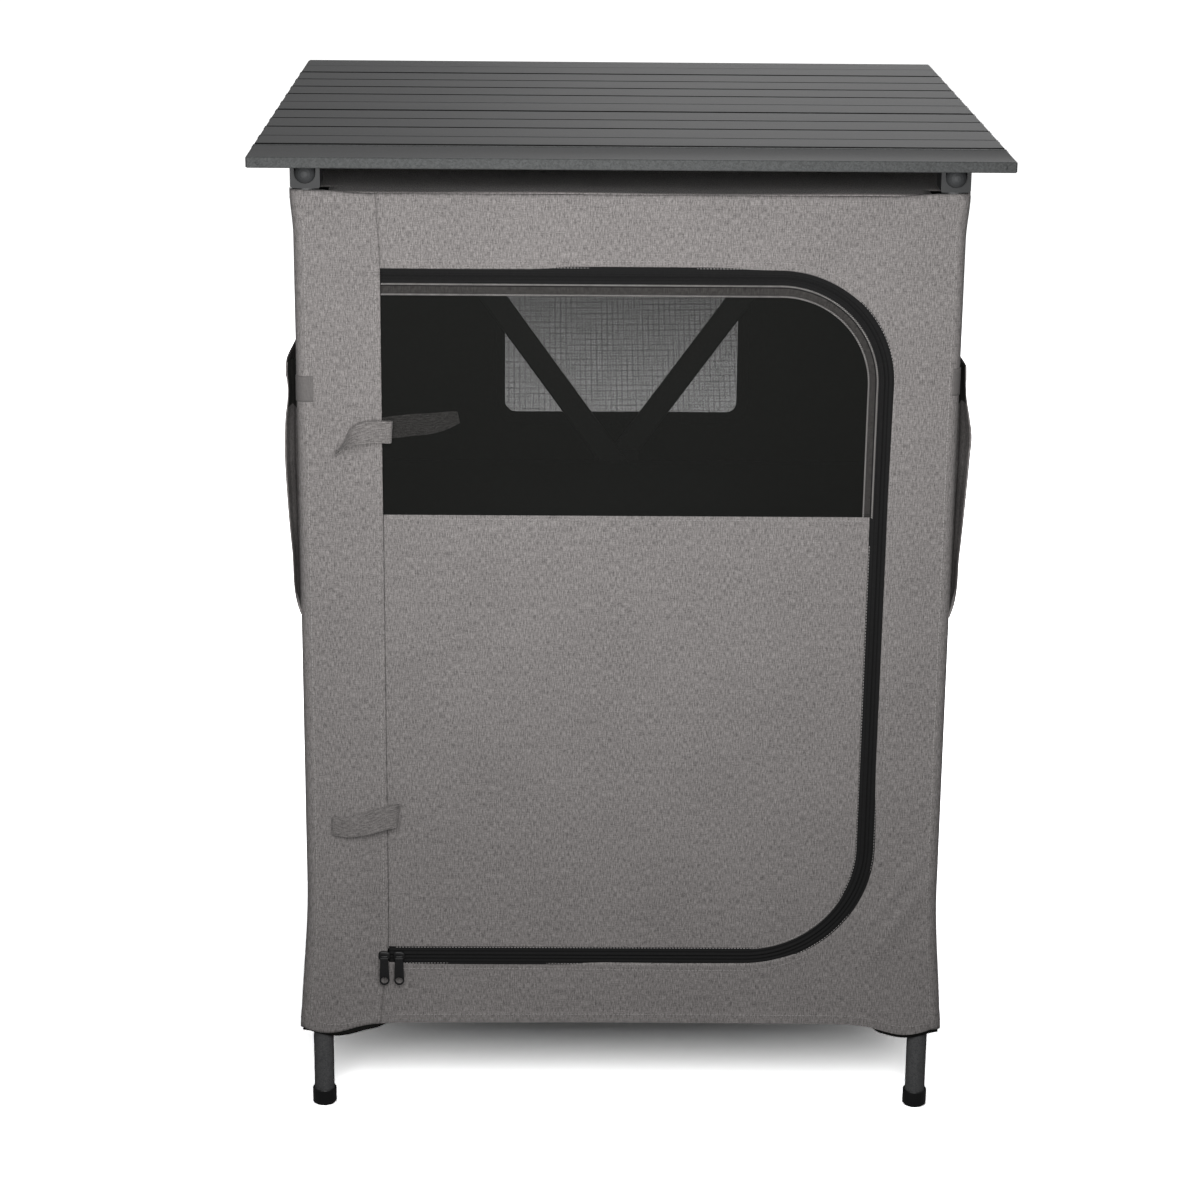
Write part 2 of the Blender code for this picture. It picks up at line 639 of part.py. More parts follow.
def strut_bar(front, back, lean):
    """A flat-oval bar across Y through the crossing: an outline of two round ends, its edges rounded."""
    radius = STRUT_WIDTH / 2
    loops = []
    for inset, level in (
        (STRUT_EDGE_ROUND, front),
        (STRUT_EDGE_ROUND * ARC_CORNER_SHARE, front + STRUT_EDGE_ROUND * ARC_CORNER_SHARE),
        (0, front + STRUT_EDGE_ROUND),
        (0, back - STRUT_EDGE_ROUND),
        (STRUT_EDGE_ROUND * ARC_CORNER_SHARE, back - STRUT_EDGE_ROUND * ARC_CORNER_SHARE),
        (STRUT_EDGE_ROUND, back),
    ):
        outline = arc((0, STRUT_HALF_LENGTH), radius - inset, 0, 2, ARC_STEPS)
        outline += arc((0, -STRUT_HALF_LENGTH), radius - inset, 2, 4, ARC_STEPS)
        loops.append([(x, level, z) for x, z in outline])
    bm = bmesh.new()
    rings = [[bm.verts.new(point) for point in loop] for loop in loops]
    count = len(rings[0])
    for near, far in zip(rings, rings[1:]):
        for step in range(count):
            after = (step + 1) % count
            bm.faces.new((near[step], near[after], far[after], far[step]))
    bm.faces.new(rings[0])
    bm.faces.new(rings[-1])
    bmesh.ops.transform(bm, matrix=Matrix.Rotation(lean, 4, "Y"), verts=bm.verts)
    bmesh.ops.translate(bm, verts=bm.verts, vec=(0, 0, STRUT_CROSS_Z))
    bmesh.ops.recalc_face_normals(bm, faces=bm.faces)
    return bm


def struts(materials, pivot_a, pivot_b):
    """The crossed rear struts, and the plate between them at the crossing."""
    sink = STRUT_THICKNESS / 2
    front_pins = [
        pin(-STRUT_X, STRUT_TOP_FROM_GROUND, STRUT_A_BACK - sink, LUG_BACK + SEAT_GAP, True),
        pin(STRUT_X, STRUT_FOOT_FROM_GROUND, STRUT_A_BACK - sink, LUG_BACK + SEAT_GAP, True),
        pin(0, STRUT_CROSS_Z, STRUT_A_BACK - sink, STRUT_B_BACK, False),
    ]
    bar = fused(strut_bar(STRUT_A_FRONT, STRUT_A_BACK, -STRUT_LEAN), *front_pins)
    add_piece("strut_a", bar, materials["strut"], pivot_a)
    rear_pins = [
        pin(STRUT_X, STRUT_TOP_FROM_GROUND, STRUT_B_FRONT + sink, LUG_FRONT - SEAT_GAP, True),
        pin(-STRUT_X, STRUT_FOOT_FROM_GROUND, STRUT_B_FRONT + sink, LUG_FRONT - SEAT_GAP, True),
    ]
    bar = fused(strut_bar(STRUT_B_FRONT, STRUT_B_BACK, STRUT_LEAN), *rear_pins)
    hole = PIN_RADIUS + SEAT_GAP
    low, high = LUG_FRONT - STRUT_THICKNESS, STRUT_B_BACK + STRUT_THICKNESS
    bore = [(0, low), (hole, low), (hole, high), (0, high)]
    bar = cut(bar, turned(bore, "Y", (0, 0, STRUT_CROSS_Z), SMALL_ROUND_SIDES))
    add_piece("strut_b", bar, materials["strut"], pivot_b)
    plate = prism(
        rounded_box(
            -CROSS_PLATE_WIDTH / 2,
            CROSS_PLATE_WIDTH / 2,
            STRUT_CROSS_Z - CROSS_PLATE_HEIGHT / 2,
            STRUT_CROSS_Z + CROSS_PLATE_HEIGHT / 2,
            CROSS_PLATE_ROUND,
            SOFT_ARC_STEPS,
        ),
        "Y",
        LUG_FRONT,
        LUG_BACK,
    )
    plate = cut(plate, turned(bore, "Y", (0, 0, STRUT_CROSS_Z), SMALL_ROUND_SIDES))
    add_piece("strut_cross_plate", plate, materials["plastic"], pivot_b)


# Table top


def slat_section(rear, depth, groove, bead):
    """An open aluminium channel seen from its end: a top, two walls with lips, and ribs between."""
    front = rear - depth
    top, low = TABLE_HEIGHT, SLAT_BOTTOM
    soft = SLAT_EDGE_ROUND
    outline = [(rear, top - soft), (rear - soft * ARC_CORNER_SHARE, top - soft * ARC_CORNER_SHARE)]
    outline.append((rear - soft, top))
    if groove:
        middle = rear - GROOVE_FROM_REAR
        outline += [
            (middle + GROOVE_WIDTH / 2, top),
            (middle, top - GROOVE_DEPTH),
            (middle - GROOVE_WIDTH / 2, top),
        ]
    if bead:
        outline += [
            (rear - BEAD_SLOPE, top + BEAD_HEIGHT),
            (rear - BEAD_WIDTH + BEAD_SLOPE, top + BEAD_HEIGHT),
            (rear - BEAD_WIDTH, top),
        ]
    outline += [
        (front + soft, top),
        (front + soft * ARC_CORNER_SHARE, top - soft * ARC_CORNER_SHARE),
        (front, top - soft),
        (front, low),
        (front + SLAT_LIP, low),
        (front + SLAT_LIP, low + SLAT_WALL),
        (front + SLAT_WALL, low + SLAT_WALL),
        (front + SLAT_WALL, top - SLAT_WALL),
    ]
    bays = max(2, round(depth / RIB_SPACING) + 1)
    for rib in range(1, bays):
        middle = front + depth * rib / bays
        outline += [
            (middle - SLAT_WALL / 2, top - SLAT_WALL),
            (middle - SLAT_WALL / 2, low),
            (middle + SLAT_WALL / 2, low),
            (middle + SLAT_WALL / 2, top - SLAT_WALL),
        ]
    outline += [
        (rear - SLAT_WALL, top - SLAT_WALL),
        (rear - SLAT_WALL, low + SLAT_WALL),
        (rear - SLAT_LIP, low + SLAT_WALL),
        (rear - SLAT_LIP, low),
        (rear, low),
    ]
    return outline


def end_link(way, rear, depth, has_front_joint):
    """The plastic end of a slat: a plate over the channel, and a round link across the joint in front."""
    front = rear - depth
    inner = SLAT_END_X - END_PLATE
    soft = SLAT_EDGE_ROUND
    outline = [
        (rear, TABLE_HEIGHT - soft),
        (rear - soft, TABLE_HEIGHT),
        (front + soft, TABLE_HEIGHT),
        (front, TABLE_HEIGHT - soft),
        (front, SLAT_BOTTOM),
        (rear, SLAT_BOTTOM),
    ]
    plate_end = SLAT_END_X - SEAT_GAP
    plate = prism(outline, "X", *sorted((way * inner, way * plate_end)))
    if not has_front_joint:
        return plate
    height = TABLE_HEIGHT - KNUCKLE_DROP
    boss_low, boss_high = height - KNUCKLE_BOSS, height + KNUCKLE_BOSS
    boss = prism(
        box_outline(front, front + KNUCKLE_BOSS, boss_low, boss_high),
        "X",
        *sorted((way * (inner + OVERRUN), way * (SLAT_END_X + OVERRUN))),
    )
    tip = SLAT_END_X + KNUCKLE_THICKNESS
    round_link = [
        (0, SLAT_END_X),
        (KNUCKLE_RADIUS, SLAT_END_X),
        (KNUCKLE_RADIUS, tip - soft),
        (KNUCKLE_RADIUS - soft, tip),
        (0, tip),
    ]
    profile = [(radius, way * level) for radius, level in round_link]
    joint = front - SLAT_JOINT_GAP / 2
    link = turned(profile, "X", (0, joint, height), SMALL_ROUND_SIDES)
    return fused(plate, boss, link)


def slat(name, rear, depth, materials, pivot, place="inner"):
    section = slat_section(rear, depth, place == "rear", place == "front")
    reach = SLAT_END_X - END_PLATE + OVERRUN
    body = prism(section, "X", -reach, reach)
    ends = [end_link(way, rear, depth, place != "front") for way in (-1, 1)]
    add_piece(name, fused(body, *ends), materials["slat"], pivot)


def table_top(materials, frame):
    """The rear slat lies on the rails. Each slat in front of it hangs from the one behind it."""
    rear = TABLE_DEPTH / 2
    lift = make_pivot("axis_table_lift", (0, rear, SLAT_BOTTOM), frame)
    slat("slat_01_rear", rear, REAR_SLAT_DEPTH, materials, lift, "rear")
    behind = lift
    rear -= REAR_SLAT_DEPTH + SLAT_JOINT_GAP
    for number in range(INNER_SLAT_COUNT):
        axis = (0, rear + SLAT_JOINT_GAP / 2, TABLE_HEIGHT)
        behind = make_pivot(f"axis_slat_{number + 2:02d}", axis, behind)
        depth = INNER_SLAT_PITCH - SLAT_JOINT_GAP
        slat(f"slat_{number + 2:02d}", rear, depth, materials, behind)
        rear -= INNER_SLAT_PITCH
    last = INNER_SLAT_COUNT + 2
    axis = (0, rear + SLAT_JOINT_GAP / 2, TABLE_HEIGHT)
    behind = make_pivot(f"axis_slat_{last:02d}", axis, behind)
    slat(f"slat_{last:02d}_front", rear, FRONT_SLAT_DEPTH, materials, behind, "front")


# Fabric body


def hem_outline():
    """The front and rear panels' outer edge: square at the top, arched up along the bottom hem."""
    steps = [step / HEM_STEPS for step in range(HEM_STEPS + 1)]
    bottom = [
        (BODY_X - 2 * BODY_X * share, HEM_BOTTOM + HEM_ARCH * math.sin(math.pi * share))
        for share in steps
    ]
    side = [HEM_TOP + (HEM_BOTTOM - HEM_TOP) * share for share in steps[1:-1:3]]
    right = [(BODY_X, z) for z in side]
    left = [(-BODY_X, z) for z in reversed(side)]
    top = [(-BODY_X + 2 * BODY_X * share, HEM_TOP) for share in steps[::2]]
    return top + right + bottom + left


def hem_lift(x, z, share):
    """Outward waves along the bottom hem. The panel is flat above them and at both corners."""
    across = (x + BODY_X) / (2 * BODY_X)
    down = (HEM_BOTTOM + HEM_WAVE_HEIGHT - z) / HEM_WAVE_HEIGHT
    return HEM_WAVE * wave(across) * smooth_step(down)


def side_panel(side, materials, pivot):
    """A flat side with soft vertical folds in its lower half, which fade out at every edge."""
    way = -1 if side == "left" else 1
    rows, columns = SHEET_ROWS * 2, HEM_STEPS * 2
    reach = FABRIC_IN_Y - SEAT_GAP
    fronts, backs = [], []
    for r in range(rows + 1):
        z = HEM_BOTTOM + (HEM_TOP - HEM_BOTTOM) * r / rows
        down = smooth_step((SIDE_WAVE_TOP - z) / (SIDE_WAVE_TOP - HEM_BOTTOM))
        front_row, back_row = [], []
        for c in range(columns + 1):
            y = -reach + 2 * reach * c / columns
            x = BODY_X + SIDE_WAVE * wave(c / columns) * down
            front_row.append((way * x, y, z))
            back_row.append((way * (x - FABRIC), y, z))
        fronts.append(front_row)
        backs.append(back_row)
    add_piece(f"panel_{side}", shell(fronts, backs), materials["fabric"], pivot)


def notched_sheet(name, top, thickness, front, rear, material, pivot):
    """A level sheet inside the body, its corners cut off so that it clears the legs."""
    right = FABRIC_IN_X - SEAT_GAP
    notch = CORNER_NOTCH
    outline = [
        (right, front + notch),
        (right, rear - notch),
        (right - notch, rear),
        (-right + notch, rear),
        (-right, rear - notch),
        (-right, front + notch),
        (-right + notch, front),
        (right - notch, front),
    ]
    add_piece(name, prism(outline, "Z", top - thickness, top), material, pivot)


def rear_window():
    left = -BODY_X + WINDOW_LEFT_MARGIN
    right = BODY_X - WINDOW_RIGHT_MARGIN
    high = HEM_TOP - WINDOW_TOP_MARGIN
    return left, right, high - WINDOW_HEIGHT, high


def window_net(name, outline, plane, materials, pivot):
    """The net of a window, in the middle of its fabric's thickness."""
    middle = plane + FABRIC / 2
    net = prism(outline, "Y", middle - NET / 2, middle + NET / 2)
    add_piece(name, net, materials["net"], pivot)


def shrunk(left, right, low, high, gap, corner):
    return rounded_box(left + gap, right - gap, low + gap, high - gap, corner, SOFT_ARC_STEPS)


def rear_wall(materials, pivot):
    window = rear_window()
    hole = rounded_box(*window, WINDOW_CORNER, SOFT_ARC_STEPS)
    panel = ring_panel(hole, hem_outline(), BODY_Y, 1, hem_lift)
    add_piece("rear_panel", panel, materials["fabric"], pivot)
    net = shrunk(*window, SEAT_GAP, WINDOW_CORNER - SEAT_GAP)
    window_net("rear_window_net", net, FABRIC_IN_Y, materials, pivot)


def track(inset):
    """The zip's way round the door, from its top left to its bottom left, moved in by the inset."""
    top = DOOR_TOP_RADIUS
    low = DOOR_BOTTOM_RADIUS
    path = [(SEAM_X, DOOR_TOP - inset)]
    path += arc((DOOR_RIGHT - top, DOOR_TOP - top), top - inset, 1, 0, ARC_STEPS)
    path += arc((DOOR_RIGHT_LOW - low, DOOR_BOTTOM + low), low - inset, 0, -1, ARC_STEPS)
    path.append((SEAM_X, DOOR_BOTTOM + inset))
    return path


def door_outline(inset, seam_gap):
    """The door's edge. Its left side runs along the seam, at the given gap to it."""
    path = track(inset)
    return [
        (SEAM_X + seam_gap, path[0][1]),
        *path[1:-1],
        (SEAM_X + seam_gap, path[-1][1]),
    ]


def zip_tape(name, near, far, seam_gap, materials, pivot):
    """One half of the zip, a band that follows the track between two insets."""
    start = [(SEAM_X + seam_gap, track(inset)[0][1]) for inset in (near, far)]
    end = [(SEAM_X + seam_gap, track(inset)[-1][1]) for inset in (near, far)]
    edges = []
    for index, inset in enumerate((near, far)):
        edges.append([start[index], *track(inset)[1:-1], end[index]])
    fronts = [[(x, TAPE_FRONT, z) for x, z in edge] for edge in edges]
    backs = [[(x, TAPE_FRONT + ZIP_TAPE_THICKNESS, z) for x, z in edge] for edge in edges]
    add_piece(name, shell(fronts, backs), materials["zip"], pivot)


def front_wall(materials, frame, door):
    """The surround, the door with its net window, and the two halves of the zip between them."""
    edge = TAPE_SPAN + SEAT_GAP
    half_seam = SEAT_GAP / 2
    surround = ring_panel(
        door_outline(-edge, -half_seam), hem_outline(), BODY_FRONT, -1, hem_lift
    )
    add_piece("front_surround", surround, materials["fabric"], frame)
    half_chain = ZIP_CHAIN_GAP / 2
    zip_tape("zip_tape_surround", -TAPE_SPAN, -half_chain, half_seam, materials, frame)
    zip_tape("zip_tape_door", half_chain, TAPE_SPAN, half_seam, materials, door)

    net_left = SEAM_X + NET_LEFT_BORDER
    net_right = DOOR_RIGHT - edge - NET_SIDE_BORDER
    corner = DOOR_TOP_RADIUS - edge - NET_SIDE_BORDER

    def net_outline(gap):
        round_corner = corner - gap
        small = NET_CORNER
        left, right = net_left + gap, net_right - gap
        low, high = NET_BOTTOM + gap, NET_TOP - gap
        return (
            arc((right - round_corner, high - round_corner), round_corner, 1, 0, ARC_STEPS)
            + arc((right - small, low + small), small, 0, -1, SOFT_ARC_STEPS)
            + arc((left + small, low + small), small, -1, -2, SOFT_ARC_STEPS)
            + arc((left + small, high - small), small, 2, 1, SOFT_ARC_STEPS)
        )

    wave_top = NET_BOTTOM - DOOR_WAVE_TOP_BELOW_NET
    wave_low = DOOR_BOTTOM + edge

    def door_lift(x, z, share):
        across = (x - SEAM_X) / (DOOR_RIGHT - SEAM_X)
        down = (wave_top - z) / (wave_top - wave_low)
        edge_fade = math.sin(math.pi * share)
        return DOOR_WAVE * wave(across) * smooth_step(2 * down) * edge_fade

    outer = dense_outline(door_outline(edge, half_seam))
    panel = ring_panel(net_outline(0), outer, BODY_FRONT, -1, door_lift)
    add_piece("door_panel", panel, materials["fabric"], door)
    window_net("door_net", net_outline(SEAT_GAP), BODY_FRONT, materials, door)


def dense_outline(outline):
    """An outline with its long bottom run divided, so that the door's folds have points to follow."""
    (ax, az), (bx, bz) = outline[-2], outline[-1]
    added = [
        (ax + (bx - ax) * step / HEM_STEPS, az + (bz - az) * step / HEM_STEPS)
        for step in range(1, HEM_STEPS)
    ]
    return outline[:-1] + added + outline[-1:]


def slider(name, x, materials, pivot):
    """A zip slider, a small block with round corners that lies over the chain."""
    outline = rounded_box(
        x - SLIDER_WIDTH / 2,
        x + SLIDER_WIDTH / 2,
        DOOR_BOTTOM - SLIDER_HEIGHT / 2,
        DOOR_BOTTOM + SLIDER_HEIGHT / 2,
        SLIDER_ROUND,
        SOFT_ARC_STEPS,
    )
    add_piece(name, prism(outline, "Y", SLIDER_FRONT, SLIDER_BACK), materials["metal"], pivot)


def pull(name, x, materials, pivot):
    """A flat pull that hangs from the slider's front and widens to a round tip with an eye."""
    half = PULL_TOP_WIDTH / 2
    eye_z = PULL_TOP_Z - PULL_LENGTH + PULL_WIDTH / 2
    tip = arc((x, eye_z), PULL_WIDTH / 2, 0, -2, ARC_STEPS)
    outline = [(x - half, PULL_TOP_Z), (x + half, PULL_TOP_Z), *tip]
    front = PULL_AXIS_Y - PULL_THICKNESS / 2
    plate = prism(outline, "Y", front, front + PULL_THICKNESS)
    depth = PULL_THICKNESS
    bore = [(0, -depth), (PULL_EYE_RADIUS, -depth), (PULL_EYE_RADIUS, depth), (0, depth)]
    plate = cut(plate, turned(bore, "Y", (x, PULL_AXIS_Y, eye_z), SMALL_ROUND_SIDES))
    add_piece(name, plate, materials["metal"], pivot)


def zip_sliders(materials, frame, door):
    """Both sliders wait at the left end of the zip's lower run. The second one runs along it."""
    first = SEAM_X - FIRST_SLIDER_LEFT_OF_SEAM
    slider("slider_1", first, materials, frame)
    axis = make_pivot("axis_pull_1", (first, PULL_AXIS_Y, PULL_AXIS_Z), frame)
    pull("pull_1", first, materials, axis)
    second = first + SLIDER_PITCH
    run = make_pivot("axis_slider_2", (second, SLIDER_BACK, DOOR_BOTTOM), door)
    slider("slider_2", second, materials, run)
    axis = make_pivot("axis_pull_2", (second, PULL_AXIS_Y, PULL_AXIS_Z), run)
    pull("pull_2", second, materials, axis)


def pocket(side, materials, pivot):
    """A flat pocket on a side panel, open at the top, with a gusset at each end and a webbing tab."""
    way = -1 if side == "left" else 1
    base = BODY_X + SEAT_GAP
    height = POCKET_TOP - POCKET_BOTTOM
    end_y = BODY_Y - POCKET_INSET

    def wall(extra, low, high):
        points = []
        for step in range(ARC_STEPS + 1):
            share = step / ARC_STEPS
            z = low + (high - low) * share
            up = (z - POCKET_BOTTOM) / height
            bulge = POCKET_DEPTH * POCKET_BULGE_SHARE * math.sin(math.pi * min(max(up, 0.0), 1.0))
            depth = POCKET_FOOT + (POCKET_DEPTH - POCKET_FOOT) * up + bulge
            points.append((way * (base + depth - extra), z))
        return points

    over = POCKET_HEM_HEIGHT
    hem_low = POCKET_TOP - POCKET_HEM_HEIGHT
    outer_wall = wall(0, POCKET_BOTTOM, POCKET_TOP)
    outer = prism([(way * base, POCKET_BOTTOM), *outer_wall, (way * base, POCKET_TOP)], "Y", -end_y, end_y)
    inner_wall = wall(FABRIC, POCKET_BOTTOM + FABRIC, POCKET_TOP + over)
    behind = way * (base - over)
    hollow = prism(
        [(behind, POCKET_BOTTOM + FABRIC), *inner_wall, (behind, POCKET_TOP + over)],
        "Y",
        -end_y + FABRIC,
        end_y - FABRIC,
    )
    bag = cut(outer, hollow)
    rim = wall(-POCKET_HEM_EXTRA, hem_low, POCKET_TOP) + list(
        reversed(wall(FABRIC / 2, hem_low, POCKET_TOP))
    )
    bag = fused(bag, prism(rim, "Y", -end_y, end_y))
    tab_high = POCKET_TOP - TAB_BELOW_RIM
    tab_low = tab_high - TAB_HEIGHT
    tab_back = BODY_FRONT - SEAT_GAP
    tab_front = tab_back - TAB_THICKNESS
    outside = way * (base + POCKET_DEPTH)
    plan = [
        (outside, tab_front),
        (way * (BODY_X - TAB_REACH), tab_front),
        (way * (BODY_X - TAB_REACH), tab_back),
        (way * base, tab_back),
        (way * base, -end_y + FABRIC / 2),
        (outside, -end_y + FABRIC / 2),
    ]
    bag = fused(bag, prism(plan, "Z", tab_low, tab_high))
    add_piece(f"pocket_{side}", bag, materials["fabric"], pivot)


def strap(name, start, way, length, height, plane, outward, materials, pivot):
    """A flat strap sewn at the door's seam: it sways up and down, lifts a little, and narrows to its tip."""
    edges = ([], [])
    backs = ([], [])
    for step in range(ARC_STEPS + 1):
        share = step / ARC_STEPS
        x = start + way * length * share
        sway = STRAP_SWAY * math.sin(math.tau * share) * share
        lift = outward * STRAP_LIFT * smooth_step(share) * math.sin(math.pi * share)
        narrow = 1 - (1 - STRAP_TIP_WIDTH_SHARE) * smooth_step(2 * share - 1)
        half = STRAP_WIDTH / 2 * narrow
        for side, across in enumerate((-half, half)):
            z = height + sway + across
            y = plane + lift
            edges[side].append((x, y, z))
            backs[side].append((x, y + outward * STRAP_THICKNESS, z))
    add_piece(name, shell(edges, backs), materials["webbing"], pivot)


def straps(materials, frame):
    """The straps that hold the rolled-up door: two outside on the surround, one inside behind the net."""
    left_start = SEAM_X - SEAT_GAP
    front = BODY_FRONT - SEAT_GAP
    behind = BODY_FRONT + FABRIC + SEAT_GAP
    outer_height = HEM_TOP - OUTER_STRAP_UPPER_BELOW_HEM
    inner_height = HEM_TOP - INNER_STRAP_BELOW_HEM
    places = (
        ("strap_outer_upper", left_start, -1, OUTER_STRAP_UPPER_LENGTH, outer_height, front, -1),
        ("strap_outer_lower", left_start, -1, OUTER_STRAP_LOWER_LENGTH, OUTER_STRAP_LOWER_HEIGHT, front, -1),
        ("strap_inner_upper", left_start, 1, INNER_STRAP_LENGTH, inner_height, behind, 1),
    )
    for name, start, way, length, height, plane, outward in places:
        strap(name, start, way, length, height, plane, outward, materials, frame)


def fabric_body(materials, left, right, door):
    front_wall(materials, left, door)
    rear_wall(materials, left)
    side_panel("left", materials, left)
    side_panel("right", materials, right)
    pocket("left", materials, left)
    pocket("right", materials, right)
    inside = FABRIC_IN_Y - SEAT_GAP
    shelf_rear = STRUT_A_FRONT - SHELF_STRUT_GAP
    roof_top = HEM_TOP - ROOF_BELOW_HEM
    notched_sheet("roof_panel", roof_top, FABRIC, -inside, inside, materials["lining"], left)
    notched_sheet(
        "mid_shelf", SHELF_TOP, SHELF_THICKNESS, -inside, shelf_rear, materials["lining"], left
    )
    floor_top = FLOOR_BOTTOM + SHELF_THICKNESS
    notched_sheet(
        "floor_panel", floor_top, SHELF_THICKNESS, -inside, shelf_rear, materials["lining"], left
    )


def build():
    clear_scene()
    materials = make_materials()
    left_upper = make_pivot("left_side_frame", (0, 0, 0))
    axis_a = make_pivot("axis_strut_a", (-STRUT_X, LEG_Y, STRUT_TOP_FROM_GROUND), left_upper)
    right_lower = make_pivot("axis_right_lower", (STRUT_X, LEG_Y, STRUT_FOOT_FROM_GROUND), axis_a)
    axis_b = make_pivot("axis_strut_b", (0, LEG_Y, STRUT_CROSS_Z), axis_a)
    right_upper = make_pivot("axis_right_upper", (STRUT_X, LEG_Y, STRUT_TOP_FROM_GROUND), axis_b)
    left_lower = make_pivot("axis_left_lower", (-STRUT_X, LEG_Y, STRUT_FOOT_FROM_GROUND), axis_b)
    door = make_pivot("axis_door", (DOOR_HINGE_X, BODY_FRONT, DOOR_BOTTOM), left_upper)
    side_frame("left", materials, left_upper, left_lower)
    side_frame("right", materials, right_upper, right_lower)
    struts(materials, axis_a, axis_b)
    table_top(materials, left_upper)
    fabric_body(materials, left_upper, right_upper, door)
    zip_sliders(materials, left_upper, door)
    straps(materials, left_upper)


build()
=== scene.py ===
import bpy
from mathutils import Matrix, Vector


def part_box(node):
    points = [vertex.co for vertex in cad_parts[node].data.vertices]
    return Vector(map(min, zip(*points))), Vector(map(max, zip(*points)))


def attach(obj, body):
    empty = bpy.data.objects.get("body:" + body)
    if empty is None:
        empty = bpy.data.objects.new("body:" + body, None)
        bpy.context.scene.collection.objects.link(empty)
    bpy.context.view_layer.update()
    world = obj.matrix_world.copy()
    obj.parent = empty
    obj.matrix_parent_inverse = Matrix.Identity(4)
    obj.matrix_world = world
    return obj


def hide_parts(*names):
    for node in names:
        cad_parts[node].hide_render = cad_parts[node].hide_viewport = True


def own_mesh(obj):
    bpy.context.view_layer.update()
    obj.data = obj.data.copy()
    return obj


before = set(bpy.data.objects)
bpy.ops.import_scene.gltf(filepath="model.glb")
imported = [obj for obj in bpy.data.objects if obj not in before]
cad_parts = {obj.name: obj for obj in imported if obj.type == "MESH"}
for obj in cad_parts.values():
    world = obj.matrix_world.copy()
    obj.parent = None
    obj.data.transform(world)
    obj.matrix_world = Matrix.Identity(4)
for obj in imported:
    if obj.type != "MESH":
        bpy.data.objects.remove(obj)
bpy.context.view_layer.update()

import math

import bpy
import numpy as np
from mathutils import Matrix

# The studio. A white floor runs out to white surroundings. One broad lamp stands in front just below
# table height, so the cloth is brightest near its top, one hangs over the table and one stands behind.
# A long lens looks slightly down on the object from the front.
CAMERA_PLACE = (-0.0567, -2.8793, 1.3099)
CAMERA_DOWN = math.radians(17.267)
CAMERA_ASIDE = math.radians(0.737)
CAMERA_ROLL = math.radians(0.518)
LENS_MM = 90.04
FLOOR_REACH = 60.0
WORLD_LIGHT = 0.155
FLOOR_SEEN_NEAR, FLOOR_SEEN_FAR = 4.5, 7.2
FLOOR_NET_SHADE = 0.42
FLOOR_FADE_FROM, FLOOR_FADE_TO = 0.55, 1.60
FLOOR_BOUNCE = 0.22


def grid(points, uv=None, around=False, looped=False, ends=False, keep=None, turn=False, paint=0):
    """Quads between neighbours of points[i, j]. around joins the last column to the first, looped joins
    the last row to the first, ends closes the first and last rows, keep masks the quads, turn faces
    them the other way. uv[i, j] is each corner's place on the cloth, in metres."""
    rows, columns = points.shape[:2]
    i, j = np.meshgrid(
        np.arange(rows if looped else rows - 1),
        np.arange(columns if around else columns - 1),
        indexing="ij",
    )
    if keep is not None:
        i, j = i[keep], j[keep]
    i = np.stack([i, i + 1, i + 1, i], -1).reshape(-1, 4)
    j = np.stack([j, j, j + 1, j + 1], -1).reshape(-1, 4)
    if turn:
        i, j = i[:, ::-1], j[:, ::-1]
    place = np.zeros((rows + 1, columns + 1, 2)) if uv is None else uv
    faces = ((i % rows) * columns + j % columns).tolist()
    corners = place[i, j].reshape(-1, 2)
    if ends:
        ring = np.arange(columns)
        first, last = ring, (rows - 1) * columns + ring[::-1]
        if turn:
            first, last = first[::-1], last[::-1]
        faces += [first.tolist(), last.tolist()]
        corners = np.vstack([corners, np.zeros((2 * columns, 2))])
    return points.reshape(-1, 3), faces, corners, paint


def piece(name, parts, materials, sharp=None, masks=None):
    """One object from several grids. sharp is the angle in degrees past which an edge stays crisp."""
    points, faces, corners, paints = [], [], [], []
    start = 0
    for part_points, part_faces, part_corners, paint in parts:
        points.append(part_points)
        faces += [[start + index for index in face] for face in part_faces]
        corners.append(part_corners)
        paints += [paint] * len(part_faces)
        start += len(part_points)
    mesh = bpy.data.meshes.new(name)
    mesh.from_pydata(np.vstack(points).tolist(), [], faces)
    mesh.uv_layers.new(name="cloth")
    mesh.uv_layers["cloth"].data.foreach_set("uv", np.vstack(corners).astype(np.float32).ravel())
    mesh.polygons.foreach_set("material_index", np.array(paints, np.int32))
    for label, values in (masks or {}).items():
        mesh.attributes.new(label, "FLOAT", "POINT").data.foreach_set(
            "value", np.asarray(values, np.float32).ravel()
        )
    for finish in materials:
        mesh.materials.append(finish)
    mesh.shade_smooth()
    if sharp is not None:
        mesh.set_sharp_from_angle(angle=math.radians(sharp))
    made = bpy.data.objects.new(name, mesh)
    bpy.context.scene.collection.objects.link(made)
    return made


def node(tree, kind, links=None, **settings):
    """A node of this kind. links gives each input a number or another node's output."""
    made = tree.nodes.new(kind)
    for key, value in settings.items():
        setattr(made, key, value)
    for key, value in (links or {}).items():
        if isinstance(value, bpy.types.NodeSocket):
            tree.links.new(value, made.inputs[key])
        else:
            made.inputs[key].default_value = value
    return made


def sums(tree, operation, first, second=0.0, third=0.0, clamp=False):
    """The output of one Math node."""
    links = {0: first, 1: second}
    if operation in ("MULTIPLY_ADD", "COMPARE", "SMOOTH_MIN", "SMOOTH_MAX", "WRAP"):
        links[2] = third
    return node(tree, "ShaderNodeMath", links, operation=operation, use_clamp=clamp).outputs[0]


